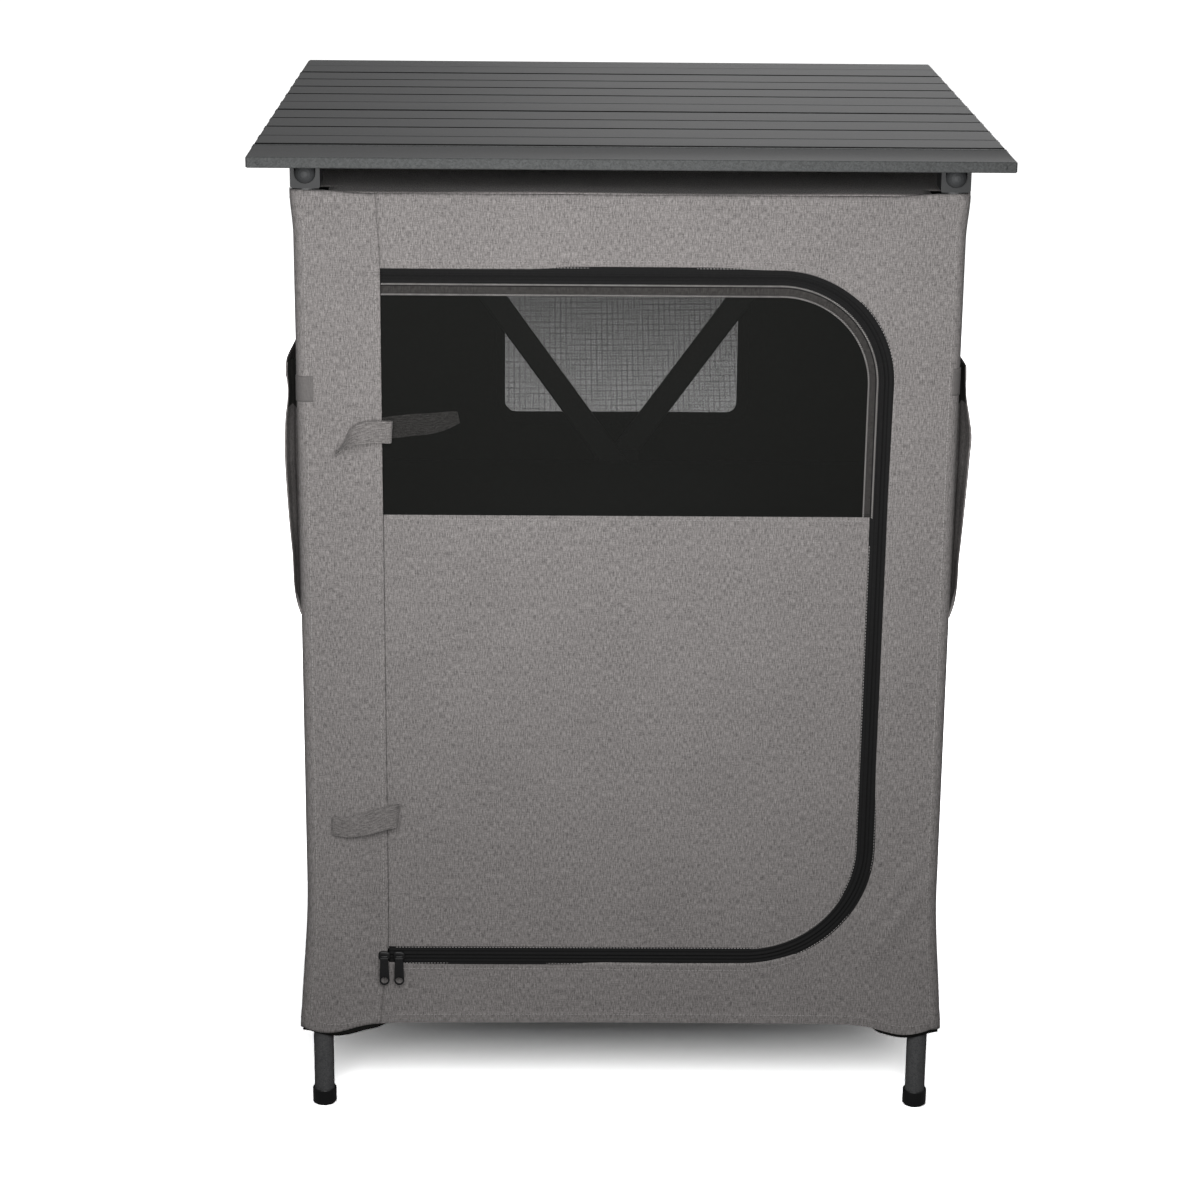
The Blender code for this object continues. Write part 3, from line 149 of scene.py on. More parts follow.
steps = np.linspace(-FLOOR_REACH, FLOOR_REACH, 9)
floor_x, floor_y = np.meshgrid(steps, steps, indexing="ij")
floor_points = np.stack([floor_x, floor_y, np.zeros_like(floor_x)], -1)

# Little light falls on the floor, so the colour that is seen is above 1. It is lower near the object, a
# painted shade that deepens the object's shadow there, and higher further out. It is dimmed behind the nets
# to match the photograph, a painted shade which is this stage's doing and not the nets'.
floor_paint = bpy.data.materials.new("studio_floor")
floor_paint.use_nodes = True
tree = floor_paint.node_tree
tree.nodes.clear()
rays = node(tree, "ShaderNodeLightPath")
seen = sums(tree, "MAXIMUM", rays.outputs["Is Camera Ray"], rays.outputs["Is Transmission Ray"])
place = node(tree, "ShaderNodeTexCoord")
away = node(tree, "ShaderNodeVectorMath", {0: place.outputs["Object"]}, operation="LENGTH")
# Painted shade: the colour seen is lower near the object, which deepens its shadow there.
fade = node(
    tree, "ShaderNodeMapRange",
    {0: away.outputs["Value"], 1: FLOOR_FADE_FROM, 2: FLOOR_FADE_TO, 3: FLOOR_SEEN_NEAR, 4: FLOOR_SEEN_FAR},
)
# Painted shade: the floor that is seen through a net is dimmed.
through = sums(tree, "GREATER_THAN", rays.outputs["Transparent Depth"], 0.5)
net_shade = sums(tree, "MULTIPLY_ADD", through, FLOOR_NET_SHADE - 1.0, 1.0)
seen_colour = sums(tree, "MULTIPLY", fade.outputs[0], net_shade)
seen_white = node(tree, "ShaderNodeBsdfDiffuse", {"Color": seen_colour})
bounced = node(tree, "ShaderNodeBsdfDiffuse", {"Color": (FLOOR_BOUNCE,) * 3 + (1,)})
both = node(tree, "ShaderNodeMixShader", {0: seen, 1: bounced.outputs[0], 2: seen_white.outputs[0]})
node(tree, "ShaderNodeOutputMaterial", {0: both.outputs[0]})
floor = piece("studio_floor", [grid(floor_points, turn=False)], [floor_paint])

world = bpy.data.worlds.new("white_surroundings")
bpy.context.scene.world = world
world.use_nodes = True
tree = world.node_tree
tree.nodes.clear()
rays = node(tree, "ShaderNodeLightPath")
seen = sums(tree, "MAXIMUM", rays.outputs["Is Camera Ray"], rays.outputs["Is Transmission Ray"])
soft_light = node(tree, "ShaderNodeBackground", {0: (1, 1, 1, 1), 1: WORLD_LIGHT})
white_seen = node(tree, "ShaderNodeBackground", {0: (1, 1, 1, 1), 1: 1.0})
both = node(tree, "ShaderNodeMixShader", {0: seen, 1: soft_light.outputs[0], 2: white_seen.outputs[0]})
node(tree, "ShaderNodeOutputWorld", {0: both.outputs[0]})


def softbox(name, place, aim, wide, high, watts):
    """An area lamp that looks from its place at the aim point and isn't seen itself."""
    lamp = bpy.data.lights.new(name, "AREA")
    lamp.shape = "RECTANGLE"
    lamp.size, lamp.size_y = wide, high
    lamp.energy = watts
    holder = bpy.data.objects.new(name, lamp)
    bpy.context.scene.collection.objects.link(holder)
    away = np.array(place, float) - np.array(aim, float)
    away /= np.linalg.norm(away)
    right = np.cross((0, 0, 1) if abs(away[2]) < 0.99 else (0, 1, 0), away)
    right /= np.linalg.norm(right)
    turn = np.eye(4)
    turn[:3, 0], turn[:3, 1], turn[:3, 2], turn[:3, 3] = right, np.cross(away, right), away, place
    holder.matrix_world = Matrix(turn.tolist())
    holder.visible_camera = False
    return holder


softbox("front_softbox", (-0.06, -1.10, 0.87), (0.0, -0.29, 0.85), 0.9, 0.75, 9.1)
softbox("table_softbox", (0.0, 0.35, 2.9), (0.0, 0.0, 0.9), 1.6, 1.6, 17.5)
softbox("rear_softbox", (0.6, 2.6, 1.8), (0.0, 0.3, 0.6), 1.6, 1.2, 14.0)

down, aside, roll = CAMERA_DOWN, CAMERA_ASIDE, CAMERA_ROLL
ahead = np.array([math.sin(aside) * math.cos(down), math.cos(aside) * math.cos(down), -math.sin(down)])
level = np.cross(ahead, (0, 0, 1))
level /= np.linalg.norm(level)
above = np.cross(level, ahead)
lens_right = math.cos(roll) * level + math.sin(roll) * above
lens_up = math.cos(roll) * above - math.sin(roll) * level
turn = np.eye(4)
turn[:3, 0], turn[:3, 1], turn[:3, 2], turn[:3, 3] = lens_right, lens_up, -ahead, CAMERA_PLACE
camera = bpy.data.objects.new("camera", bpy.data.cameras.new("camera"))
bpy.context.scene.collection.objects.link(camera)
camera.data.lens = LENS_MM
camera.data.sensor_width = 36.0
camera.data.clip_end = 200.0
camera.matrix_world = Matrix(turn.tolist())
bpy.context.scene.camera = camera
bpy.context.scene.view_settings.view_transform = "Standard"

# The table top. Eleven hollow aluminium slats in a fine dark grey powder coat run from side to side.
# The rear slat is deep and has a groove, the front slat has a raised bead and a tall front face, and
# each slat rolls on the next through black moulded links in its ends. Each joint shows a dark line.
TABLE_TOP = 0.910
SLAT_THICK = 0.0095
SLAT_WALL = 0.0013
SLAT_LIP = 0.006
SLAT_HALF = 0.3278
SLAT_GAP = 0.0008
# The dark line is a dull black finish painted on the slat faces by a joint, with no part of its own
# there. This is how far it reaches to each side of the joints from rear to front, chosen one by one.
JOINT_LINE_REACH = (0.0038, 0.0020, 0.0028, 0.0028, 0.0012, 0.0040, 0.0020, 0.0028, 0.0012, 0.0095)
JOINT_LINE_LEAST = 0.0019
EDGE_ROUND = 0.0010
EDGE_SUPPORT = 0.0003
JOINT_Y = (
    0.2303, 0.175844, 0.121389, 0.066933, 0.012478, -0.041978, -0.096433, -0.150889, -0.205344, -0.2598,
)
TABLE_REAR, TABLE_FRONT = 0.330, -0.330
GROOVE_Y, GROOVE_WIDE, GROOVE_DEEP = 0.283, 0.0014, 0.0006
BEAD_FROM_JOINT, BEAD_WIDE, BEAD_HIGH = 0.0016, 0.0050, 0.0008
LINK_Z = TABLE_TOP - 0.0048
LINK_FROM_JOINT = 0.0048
LINK_LONG, LINK_TALL = 0.0044, 0.0042
RIB_LONG, RIB_TALL = 0.0035, 0.0022
PLATE_INSET, PLATE_RAISED, PLATE_ROUND = 0.0006, 0.0004, 0.0012
SLAT_GREY = (0.104, 0.105, 0.106, 1)
FRONT_FACE_GREY = (0.066, 0.069, 0.069, 1)
PLASTIC_BLACK = (0.012, 0.012, 0.013, 1)
JOINT_BLACK = (0.006, 0.006, 0.006, 1)


def node_group(name, inputs, outputs):
    """An empty shader group with these named sockets, and its input and output nodes."""
    made = bpy.data.node_groups.new(name, "ShaderNodeTree")
    for label, kind, value in inputs:
        made.interface.new_socket(label, in_out="INPUT", socket_type=kind).default_value = value
    for label, kind in outputs:
        made.interface.new_socket(label, in_out="OUTPUT", socket_type=kind)
    return made, made.nodes.new("NodeGroupInput"), made.nodes.new("NodeGroupOutput")


def noise(tree, place, scale, detail=2.0, rough=0.55):
    """The value of a Noise texture, about 0.5 on average."""
    made = node(
        tree, "ShaderNodeTexNoise", {"Vector": place, "Scale": scale, "Detail": detail, "Roughness": rough}
    )
    return made.outputs["Fac"]


def stretched(tree, place, scale):
    """Coordinates multiplied along each axis."""
    made = node(tree, "ShaderNodeVectorMath", {0: place, 1: scale}, operation="MULTIPLY")
    return made.outputs[0]


def tinted(tree, colour, brightness):
    """A colour times a brightness."""
    made = node(tree, "ShaderNodeVectorMath", {0: colour, "Scale": brightness}, operation="SCALE")
    return made.outputs[0]


def place_group(tree, group, **values):
    """A group node with its named inputs set or linked."""
    made = tree.nodes.new("ShaderNodeGroup")
    made.node_tree = group
    for label, value in values.items():
        if isinstance(value, bpy.types.NodeSocket):
            tree.links.new(value, made.inputs[label])
        else:
            made.inputs[label].default_value = value
    return made


def finish_of(name, shader_values, group, coordinates="Object", bump=0.0003, strength=0.4, **values):
    """A material whose colour, roughness and bump come from one group laid in these coordinates."""
    made = bpy.data.materials.new(name)
    made.use_nodes = True
    tree = made.node_tree
    shader = tree.nodes["Principled BSDF"]
    for label, value in shader_values.items():
        shader.inputs[label].default_value = value
    where = node(tree, "ShaderNodeTexCoord")
    pattern = place_group(tree, group, Vector=where.outputs[coordinates], **values)
    tree.links.new(pattern.outputs["Colour"], shader.inputs["Base Color"])
    tree.links.new(pattern.outputs["Roughness"], shader.inputs["Roughness"])
    bumps = node(
        tree,
        "ShaderNodeBump",
        {"Height": pattern.outputs["Height"], "Distance": bump, "Strength": strength},
    )
    tree.links.new(bumps.outputs[0], shader.inputs["Normal"])
    return made


# A powder coat: fine orange-peel grain, slow clouds of tone and small bright flecks in random cells.
powder_coat, given, made = node_group(
    "powder_coat",
    [
        ("Vector", "NodeSocketVector", (0, 0, 0)),
        ("Colour", "NodeSocketColor", (0.1, 0.1, 0.1, 1)),
        ("Grain", "NodeSocketFloat", 900.0),
        ("Fleck", "NodeSocketFloat", 0.1),
        ("Gloss", "NodeSocketFloat", 0.45),
        ("Worn", "NodeSocketFloat", 0.0),
    ],
    [("Colour", "NodeSocketColor"), ("Roughness", "NodeSocketFloat"), ("Height", "NodeSocketFloat")],
)
fine = noise(powder_coat, given.outputs["Vector"], given.outputs["Grain"], 3.0)
clouds = noise(powder_coat, stretched(powder_coat, given.outputs["Vector"], (3.0, 40.0, 40.0)), 1.0, 3.0)
cells = node(
    powder_coat,
    "ShaderNodeTexVoronoi",
    {
        "Vector": given.outputs["Vector"],
        "Scale": sums(powder_coat, "MULTIPLY", given.outputs["Grain"], 1.1),
    },
)
chance = node(powder_coat, "ShaderNodeSeparateColor", {0: cells.outputs["Color"]}).outputs[0]
flecks = sums(powder_coat, "MULTIPLY", sums(powder_coat, "SUBTRACT", chance, 0.5), given.outputs["Fleck"])
tone = sums(powder_coat, "MULTIPLY_ADD", sums(powder_coat, "SUBTRACT", fine, 0.5), 0.35, 1.0)
tone = sums(powder_coat, "ADD", tone, flecks)
tone = sums(powder_coat, "MULTIPLY_ADD", sums(powder_coat, "SUBTRACT", clouds, 0.5), 0.16, tone)
tone = sums(powder_coat, "MULTIPLY_ADD", given.outputs["Worn"], 0.55, tone)
powder_coat.links.new(tinted(powder_coat, given.outputs["Colour"], tone), made.inputs["Colour"])
rough = sums(powder_coat, "MULTIPLY_ADD", fine, 0.22, given.outputs["Gloss"])
rough = sums(powder_coat, "MULTIPLY_ADD", given.outputs["Worn"], -0.12, rough, clamp=True)
powder_coat.links.new(rough, made.inputs["Roughness"])
powder_coat.links.new(sums(powder_coat, "MULTIPLY_ADD", chance, 0.4, fine), made.inputs["Height"])

# Moulded plastic and rubber: faint mould grain and a soft change of gloss.
moulded, given, made = node_group(
    "moulded_grain",
    [
        ("Vector", "NodeSocketVector", (0, 0, 0)),
        ("Colour", "NodeSocketColor", (0.02, 0.02, 0.02, 1)),
        ("Grain", "NodeSocketFloat", 1400.0),
        ("Gloss", "NodeSocketFloat", 0.4),
    ],
    [("Colour", "NodeSocketColor"), ("Roughness", "NodeSocketFloat"), ("Height", "NodeSocketFloat")],
)
fine = noise(moulded, given.outputs["Vector"], given.outputs["Grain"], 2.0)
slow = noise(moulded, given.outputs["Vector"], 60.0, 2.0)
tone = sums(moulded, "MULTIPLY_ADD", sums(moulded, "SUBTRACT", slow, 0.5), 0.5, 1.0)
moulded.links.new(tinted(moulded, given.outputs["Colour"], tone), made.inputs["Colour"])
gloss = sums(moulded, "MULTIPLY_ADD", slow, 0.2, given.outputs["Gloss"])
moulded.links.new(gloss, made.inputs["Roughness"])
moulded.links.new(fine, made.inputs["Height"])

slat_coat = finish_of(
    "slat_powder_coat", {"Specular IOR Level": 0.2}, powder_coat, bump=0.00006, strength=0.5,
    Colour=SLAT_GREY, Grain=1100.0, Fleck=0.16, Gloss=0.52,
)
front_coat = finish_of(
    "front_slat_sparkle_coat", {"Specular IOR Level": 0.3}, powder_coat, bump=0.00012, strength=0.6,
    Colour=FRONT_FACE_GREY, Grain=750.0, Fleck=0.60, Gloss=0.42,
)
black_plastic = finish_of(
    "black_moulded_plastic", {}, moulded, bump=0.00003, strength=0.5, Colour=PLASTIC_BLACK, Gloss=0.32
)
# A dull black painted on the slat faces beside each joint, drawn as the joint's dark line; no seal part.
joint_line_paint = finish_of(
    "joint_line_dark_paint", {"Specular IOR Level": 0.03}, moulded, bump=0.00005, strength=0.4,
    Colour=JOINT_BLACK, Gloss=0.75,
)


def corner_arc(y, z, start, stop, radius, count=5):
    """Points on a quarter of a circle round (y, z), with angles in quarter turns."""
    angle = np.linspace(start, stop, count) * math.pi / 2
    return np.stack([y + radius * np.cos(angle), z + radius * np.sin(angle)], -1)


def slat_profile(rear, front, tops):
    """The slat's outline in (y, z), going round from the rear lip over the top to the front lip and back
    inside: a channel with rounded outer corners, lips of SLAT_LIP and a wall of SLAT_WALL. A point by
    each end of an arc keeps the flats flat in shading."""
    top, low, r = TABLE_TOP, TABLE_TOP - SLAT_THICK, EDGE_ROUND
    wall, near = SLAT_WALL, EDGE_ROUND + EDGE_SUPPORT
    return np.vstack(
        [
            [[rear - SLAT_LIP, low], [rear - near, low]],
            corner_arc(rear - r, low + r, -1, 0, r),
            [[rear, low + near], [rear, top - near]],
            corner_arc(rear - r, top - r, 0, 1, r),
            [[rear - near, top]],
            np.array(tops, float).reshape(-1, 2),
            [[front + near, top]],
            corner_arc(front + r, top - r, 1, 2, r),
            [[front, top - near], [front, low + near]],
            corner_arc(front + r, low + r, 2, 3, r),
            [
                [front + near, low],
                [front + SLAT_LIP, low],
                [front + SLAT_LIP, low + wall],
                [front + wall, low + wall],
                [front + wall, top - wall],
                [rear - wall, top - wall],
                [rear - wall, low + wall],
                [rear - SLAT_LIP, low + wall],
            ],
        ]
    )


def puck(outline, near, far, bevel):
    """A flat moulded part: an outline in (y, z) carried from x near to x far with its rims drawn in by
    the bevel, so the cross-section is the outline scaled about its middle."""
    middle = outline.mean(0)
    reach = np.abs(outline - middle).max()
    inner = middle + (outline - middle) * (1 - bevel / reach)
    way = np.sign(far - near)
    rows = [(inner, near), (outline, near + way * bevel), (outline, far - way * bevel), (inner, far)]
    points = np.stack([np.column_stack([np.full(len(flat), x), flat]) for flat, x in rows])
    return grid(points, around=True, ends=True, turn=bool(way > 0))


edges = [TABLE_REAR, *JOINT_Y, TABLE_FRONT]
bodies = ["table_rear"] + [f"table_{number:02d}" for number in range(2, 12)]
slat_nodes = ["slat_01_rear"] + [f"slat_{number:02d}" for number in range(2, 11)] + ["slat_11_front"]
circle = np.linspace(0, 2 * math.pi, 20, endpoint=False)
for index, (body, slat_node) in enumerate(zip(bodies, slat_nodes)):
    rear = edges[index] - (SLAT_GAP / 2 if index else 0.0)
    front = edges[index + 1] + (SLAT_GAP / 2 if index < 10 else 0.0)
    reach = [JOINT_LINE_REACH[max(index - 1, 0)], JOINT_LINE_REACH[min(index, 9)]]
    if index == 10:
        reach[0] = BEAD_FROM_JOINT + SLAT_GAP / 2
    tops = []
    if 0 < index < 10 and reach[0] > JOINT_LINE_LEAST:
        tops.append((edges[index] - reach[0], TABLE_TOP))
    if index == 0:
        for y, z in ((0.5, 0), (0.3, -1), (-0.3, -1), (-0.5, 0)):
            tops.append((GROOVE_Y + GROOVE_WIDE * y, TABLE_TOP + GROOVE_DEEP * z))
    if index == 10:
        bead = rear - BEAD_FROM_JOINT - BEAD_WIDE / 2
        for share in np.linspace(-1, 1, 9):
            lift = BEAD_HIGH * math.cos(share * math.pi / 2) ** 0.6 if abs(share) < 1 else 0.0
            tops.append((bead - share * BEAD_WIDE / 2, TABLE_TOP + lift))
    if index < 10 and reach[1] > JOINT_LINE_LEAST:
        tops.append((edges[index + 1] + reach[1], TABLE_TOP))
    profile = slat_profile(rear, front, tops)
    across = np.array([-SLAT_HALF, -SLAT_HALF + 0.0004, SLAT_HALF - 0.0004, SLAT_HALF])
    points = np.empty((len(across), len(profile), 3))
    points[..., 0] = across[:, None]
    points[..., 1:] = profile[None]
    body_rows = [grid(points, around=True, ends=True, turn=True)]
    slat = piece(f"slat_{index + 1:02d}_metal", body_rows, [slat_coat, front_coat, joint_line_paint], sharp=40)
    centres = np.array([face.center for face in slat.data.polygons])
    paint = np.zeros(len(centres), np.int32)
    if index == 10:
        on_front = centres[:, 1] < front + EDGE_ROUND
        on_bead = (centres[:, 2] > TABLE_TOP) & (centres[:, 1] > bead - BEAD_WIDE / 2)
        paint[on_front | on_bead] = 1
    # The dull black is painted on the faces within reach of a joint.
    by_joint_line = (index > 0) & (centres[:, 1] > edges[index] - reach[0])
    by_joint_line |= (index < 10) & (centres[:, 1] < edges[index + 1] + reach[1])
    paint[by_joint_line & (centres[:, 2] > TABLE_TOP - 2 * EDGE_ROUND)] = 2
    slat.data.polygons.foreach_set("material_index", paint)
    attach(slat, body)
    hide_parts(slat_node)

    low, r = TABLE_TOP - SLAT_THICK, PLATE_ROUND
    plate = np.vstack(
        [
            corner_arc(rear - PLATE_INSET - r, low + PLATE_RAISED + r, -1, 0, r),
            corner_arc(rear - PLATE_INSET - r, TABLE_TOP - PLATE_INSET - r, 0, 1, r),
            corner_arc(front + PLATE_INSET + r, TABLE_TOP - PLATE_INSET - r, 1, 2, r),
            corner_arc(front + PLATE_INSET + r, low + PLATE_RAISED + r, 2, 3, r),
        ]
    )
    parts = []
    for way in (-1, 1):
        parts.append(puck(plate, way * (SLAT_HALF + 0.00005), way * (SLAT_HALF + 0.0011), 0.0003))
        spots = [edges[index + 1] + LINK_FROM_JOINT] if index < 10 else []
        if index:
            spots.append(edges[index] - LINK_FROM_JOINT)
        for y in spots:
            disc = np.column_stack(
                [y + LINK_LONG * np.cos(circle), LINK_Z + LINK_TALL * np.sin(circle)]
            )
            parts.append(puck(disc, way * (SLAT_HALF + 0.0008), way * (SLAT_HALF + 0.0021), 0.0005))
        rib = np.column_stack(
            [(rear + front) / 2 + RIB_LONG * np.cos(circle), LINK_Z + RIB_TALL * np.sin(circle)]
        )
        parts.append(puck(rib, way * (SLAT_HALF + 0.0008), way * (SLAT_HALF + 0.0018), 0.0004))
    links = piece(f"slat_{index + 1:02d}_end_links", parts, [black_plastic], sharp=35)
    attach(links, body)
    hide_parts(slat_node)

# The rivets that hold the front slat's end plugs: flat domes, one near each end of its front face.
RIVET_X, RIVET_Z, RIVET_RADIUS = 0.3185, 0.9052, 0.0022


def dome(centre, axis_y, radius, lift, turn=False, rings=6, sides=20):
    """A low dome on a flat face that looks along -y or +y: radius times sin a across, lift times cos a
    out of the face, and the same point at the pole."""
    lean = np.linspace(0.02, math.pi / 2, rings)[:, None]
    round_ = np.linspace(0, 2 * math.pi, sides, endpoint=False)[None]
    points = np.empty((rings, sides, 3))
    points[..., 0] = centre[0] + radius * np.sin(lean) * np.cos(round_)
    points[..., 1] = centre[1] + axis_y * lift * np.cos(lean)
    points[..., 2] = centre[2] + radius * np.sin(lean) * np.sin(round_)
    return grid(points, around=True, ends=True, turn=turn)


rivets = piece(
    "front_slat_rivets",
    [dome((way * RIVET_X, TABLE_FRONT + 0.0001, RIVET_Z), -1, RIVET_RADIUS, 0.0005) for way in (-1, 1)],
    [front_coat],
)
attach(rivets, "table_11")

# The frame: powder-coated round tubes in dark grey, two rails under the slats, four cradle blocks
# that carry them, telescoping legs with black end caps, and flat crossed struts at the rear. The CAD
# shapes stay and get their coats.
TUBE_GREY = (0.092, 0.093, 0.095, 1)
RAIL_GREY = (0.050, 0.052, 0.054, 1)
STRUT_GREY = (0.030, 0.030, 0.031, 1)
RUBBER_BLACK = (0.0085, 0.0085, 0.009, 1)
CRADLE_BLACK = (0.018, 0.019, 0.020, 1)

tube_coat = finish_of(
    "tube_powder_coat", {"Specular IOR Level": 0.4}, powder_coat, bump=0.00010, strength=0.6,
    Colour=TUBE_GREY, Grain=800.0, Fleck=0.45, Gloss=0.40,
)
rail_coat = finish_of(
    "rail_powder_coat", {"Specular IOR Level": 0.4}, powder_coat, bump=0.00006, strength=0.5,
    Colour=RAIL_GREY, Grain=1000.0, Fleck=0.2, Gloss=0.45,
)
strut_coat = finish_of(
    "strut_powder_coat", {"Specular IOR Level": 0.35}, powder_coat, bump=0.00008, strength=0.5,
    Colour=STRUT_GREY, Grain=900.0, Fleck=0.25, Gloss=0.45,
)
cradle_plastic = finish_of(
    "cradle_plastic", {}, moulded, bump=0.00005, strength=0.5, Colour=CRADLE_BLACK, Gloss=0.40
)
foot_rubber = finish_of(
    "foot_rubber", {}, moulded, bump=0.00008, strength=0.6, Colour=RUBBER_BLACK, Grain=1000.0, Gloss=0.30
)


def coat(finish, *names):
    """Gives CAD nodes, whose shape stays, a finished material."""
    for name in names:
        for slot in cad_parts[name].material_slots:
            slot.material = finish


corners = ("front_left", "front_right", "rear_left", "rear_right")
coat(tube_coat, *[f"leg_upper_{corner}" for corner in corners])
coat(tube_coat, *[f"leg_lower_{corner}" for corner in corners])
coat(tube_coat, "side_bar_left", "side_bar_right")
coat(rail_coat, "rail_left", "rail_right")
coat(cradle_plastic, *[f"cradle_{corner}" for corner in corners])
coat(foot_rubber, *[f"foot_{corner}" for corner in corners])
coat(strut_coat, "strut_a", "strut_b", "strut_lug_lower_left", "strut_lug_lower_right")
coat(strut_coat, "strut_lug_upper_left", "strut_lug_upper_right")
coat(black_plastic, "strut_cross_plate")

# The cloth of the body: a grey melange with darker and lighter yarns both ways, mostly upright, on a
# black coated back. The front is a left strip and a C-shaped surround, which meet in an upright seam
# that also carries the door, and both turn round the front legs.
BODY_HALF = 0.2945
CLOTH_THICK = 0.0010
TURN_ROUND = 0.0100
HEM_ROLL = 0.0028
LINEN_GREY = (0.262, 0.246, 0.241, 1)
LINING_BLACK = (0.0125, 0.0125, 0.0112, 1)
THREAD_GREY = (0.40, 0.382, 0.374, 1)
HEM_HIGH, HEM_LOW = 0.877, 0.0885
ZIP_TOP, ZIP_BOTTOM = 0.8015, 0.1575
ZIP_RIGHT, ZIP_RIGHT_LOW = 0.2270, 0.2242
ZIP_TOP_ROUND, ZIP_BOTTOM_ROUND = 0.095, 0.110
SEAM_X = -0.2178
TAPE_HALF = 0.0066

melange, given, made = node_group(
    "melange_weave",
    [
        ("Vector", "NodeSocketVector", (0, 0, 0)),
        ("Colour", "NodeSocketColor", (0.25, 0.25, 0.25, 1)),
        ("Contrast", "NodeSocketFloat", 1.0),
        ("Thread", "NodeSocketFloat", 1400.0),
    ],
    [("Colour", "NodeSocketColor"), ("Roughness", "NodeSocketFloat"), ("Height", "NodeSocketFloat")],
)
place = given.outputs["Vector"]
upright = noise(melange, stretched(melange, place, (1050.0, 170.0, 1.0)), 1.0, 2.0, 0.6)
level_yarn = noise(melange, stretched(melange, place, (190.0, 1000.0, 1.0)), 1.0, 2.0, 0.6)
mottle = noise(melange, place, 900.0, 2.0, 0.6)
clouds = noise(melange, place, 16.0, 2.0)
axes = node(melange, "ShaderNodeSeparateXYZ", {0: place})
thread = sums(melange, "MULTIPLY", given.outputs["Thread"], 2 * math.pi)
wave_x = sums(melange, "SINE", sums(melange, "MULTIPLY", axes.outputs[0], thread))
wave_y = sums(melange, "SINE", sums(melange, "MULTIPLY", axes.outputs[1], thread))
crossing = sums(melange, "MULTIPLY", wave_x, wave_y)
mixed = sums(melange, "MULTIPLY", sums(melange, "SUBTRACT", upright, 0.5), 2.0)
mixed = sums(melange, "MULTIPLY_ADD", sums(melange, "SUBTRACT", level_yarn, 0.5), 0.95, mixed)
mixed = sums(melange, "MULTIPLY_ADD", sums(melange, "SUBTRACT", mottle, 0.5), 0.9, mixed)
mixed = sums(melange, "MULTIPLY_ADD", sums(melange, "SUBTRACT", clouds, 0.5), 0.16, mixed)
mixed = sums(melange, "MULTIPLY_ADD", crossing, 0.07, mixed)
tone = sums(melange, "MULTIPLY_ADD", mixed, given.outputs["Contrast"], 1.0)
melange.links.new(tinted(melange, given.outputs["Colour"], tone), made.inputs["Colour"])
melange.links.new(sums(melange, "MULTIPLY_ADD", mottle, -0.14, 0.96), made.inputs["Roughness"])
raised = sums(melange, "MULTIPLY_ADD", crossing, 0.35, sums(melange, "ADD", upright, level_yarn))
melange.links.new(raised, made.inputs["Height"])

linen = finish_of(
    "melange_linen", {"Specular IOR Level": 0.15, "Sheen Weight": 0.12, "Sheen Roughness": 0.5}, melange,
    "UV", bump=0.0004, strength=0.35, Colour=LINEN_GREY, Contrast=1.0,
)
lining = finish_of(
    "black_lining", {"Specular IOR Level": 0.2}, melange, "UV", bump=0.0003, strength=0.3,
    Colour=LINING_BLACK, Contrast=0.5,
)
thread_grey = finish_of(
    "sewing_thread", {"Specular IOR Level": 0.25, "Sheen Weight": 0.2}, melange, "Object", bump=0.0001,
    strength=0.2, Colour=THREAD_GREY, Contrast=0.5, Thread=2500.0,
)


def bell(value, centre, width):
    """One smooth hump of height 1 at the centre."""
    return np.exp(-(((value - centre) / width) ** 2))


def ramp(value, low, high):
    """0 below low, 1 above high, and a smooth step 3t^2 - 2t^3 between."""
    t = np.clip((value - low) / (high - low), 0, 1)
    return t * t * (3 - 2 * t)


def body_edge(z):
    """The body's half width at a height: a little wider at the top hem, and flaring to the feet."""
    flare = 0.0090 * (1 - ramp(z, 0.062, 0.225))
    return 0.2936 + 0.0026 * ramp(z, 0.835, 0.874) + flare


def hem_top(x):
    """The top hem's line: level, and about 2 mm higher over the legs."""
    return HEM_HIGH - 0.0035 + 0.0028 * ramp(np.abs(x), 0.225, 0.27)


def hem_low(x):
    """The lower hem's line: nearly level, and dipping about 10 mm beside each leg."""
    dip = 0.0105 * bell(np.abs(x), 0.268, 0.030)
    return HEM_LOW + 0.0008 * np.cos(x * 9) - dip


def drape(a, z, phase):
    """Slack in a panel, in metres: a slow swell sin(a) sin(z) and a slanting one sin(a - z)."""
    slow = 0.0011 * np.sin(a * 13 + phase) * np.sin(z * 5 + phase * 2)
    slant = 0.0008 * np.sin(a * 21 - z * 12 + phase * 3)
    return slow + slant


def turned_edge(distance):
    """How far cloth falls back where it turns round a leg: r - sqrt(r^2 - (r - d)^2) at d from the edge."""
    inside = np.clip(TURN_ROUND - distance, 0, TURN_ROUND)
    return TURN_ROUND - np.sqrt(np.maximum(TURN_ROUND**2 - inside**2, 0))


def slack_share(away, z):
    """How much of its slack a front or rear panel has: none at its sides and hems, all of it inside."""
    return ramp(away, 0.004, 0.05) * ramp(z, 0.08, 0.16) * ramp(HEM_HIGH - z, 0.0, 0.05)


def rolled(below):
    """What is left of a top hem's roll at a depth d below its line: sqrt(r^2 - (r - d)^2)."""
    roll = np.clip(HEM_ROLL - below, 0, HEM_ROLL)
    return np.sqrt(np.maximum(HEM_ROLL**2 - roll**2, 0))


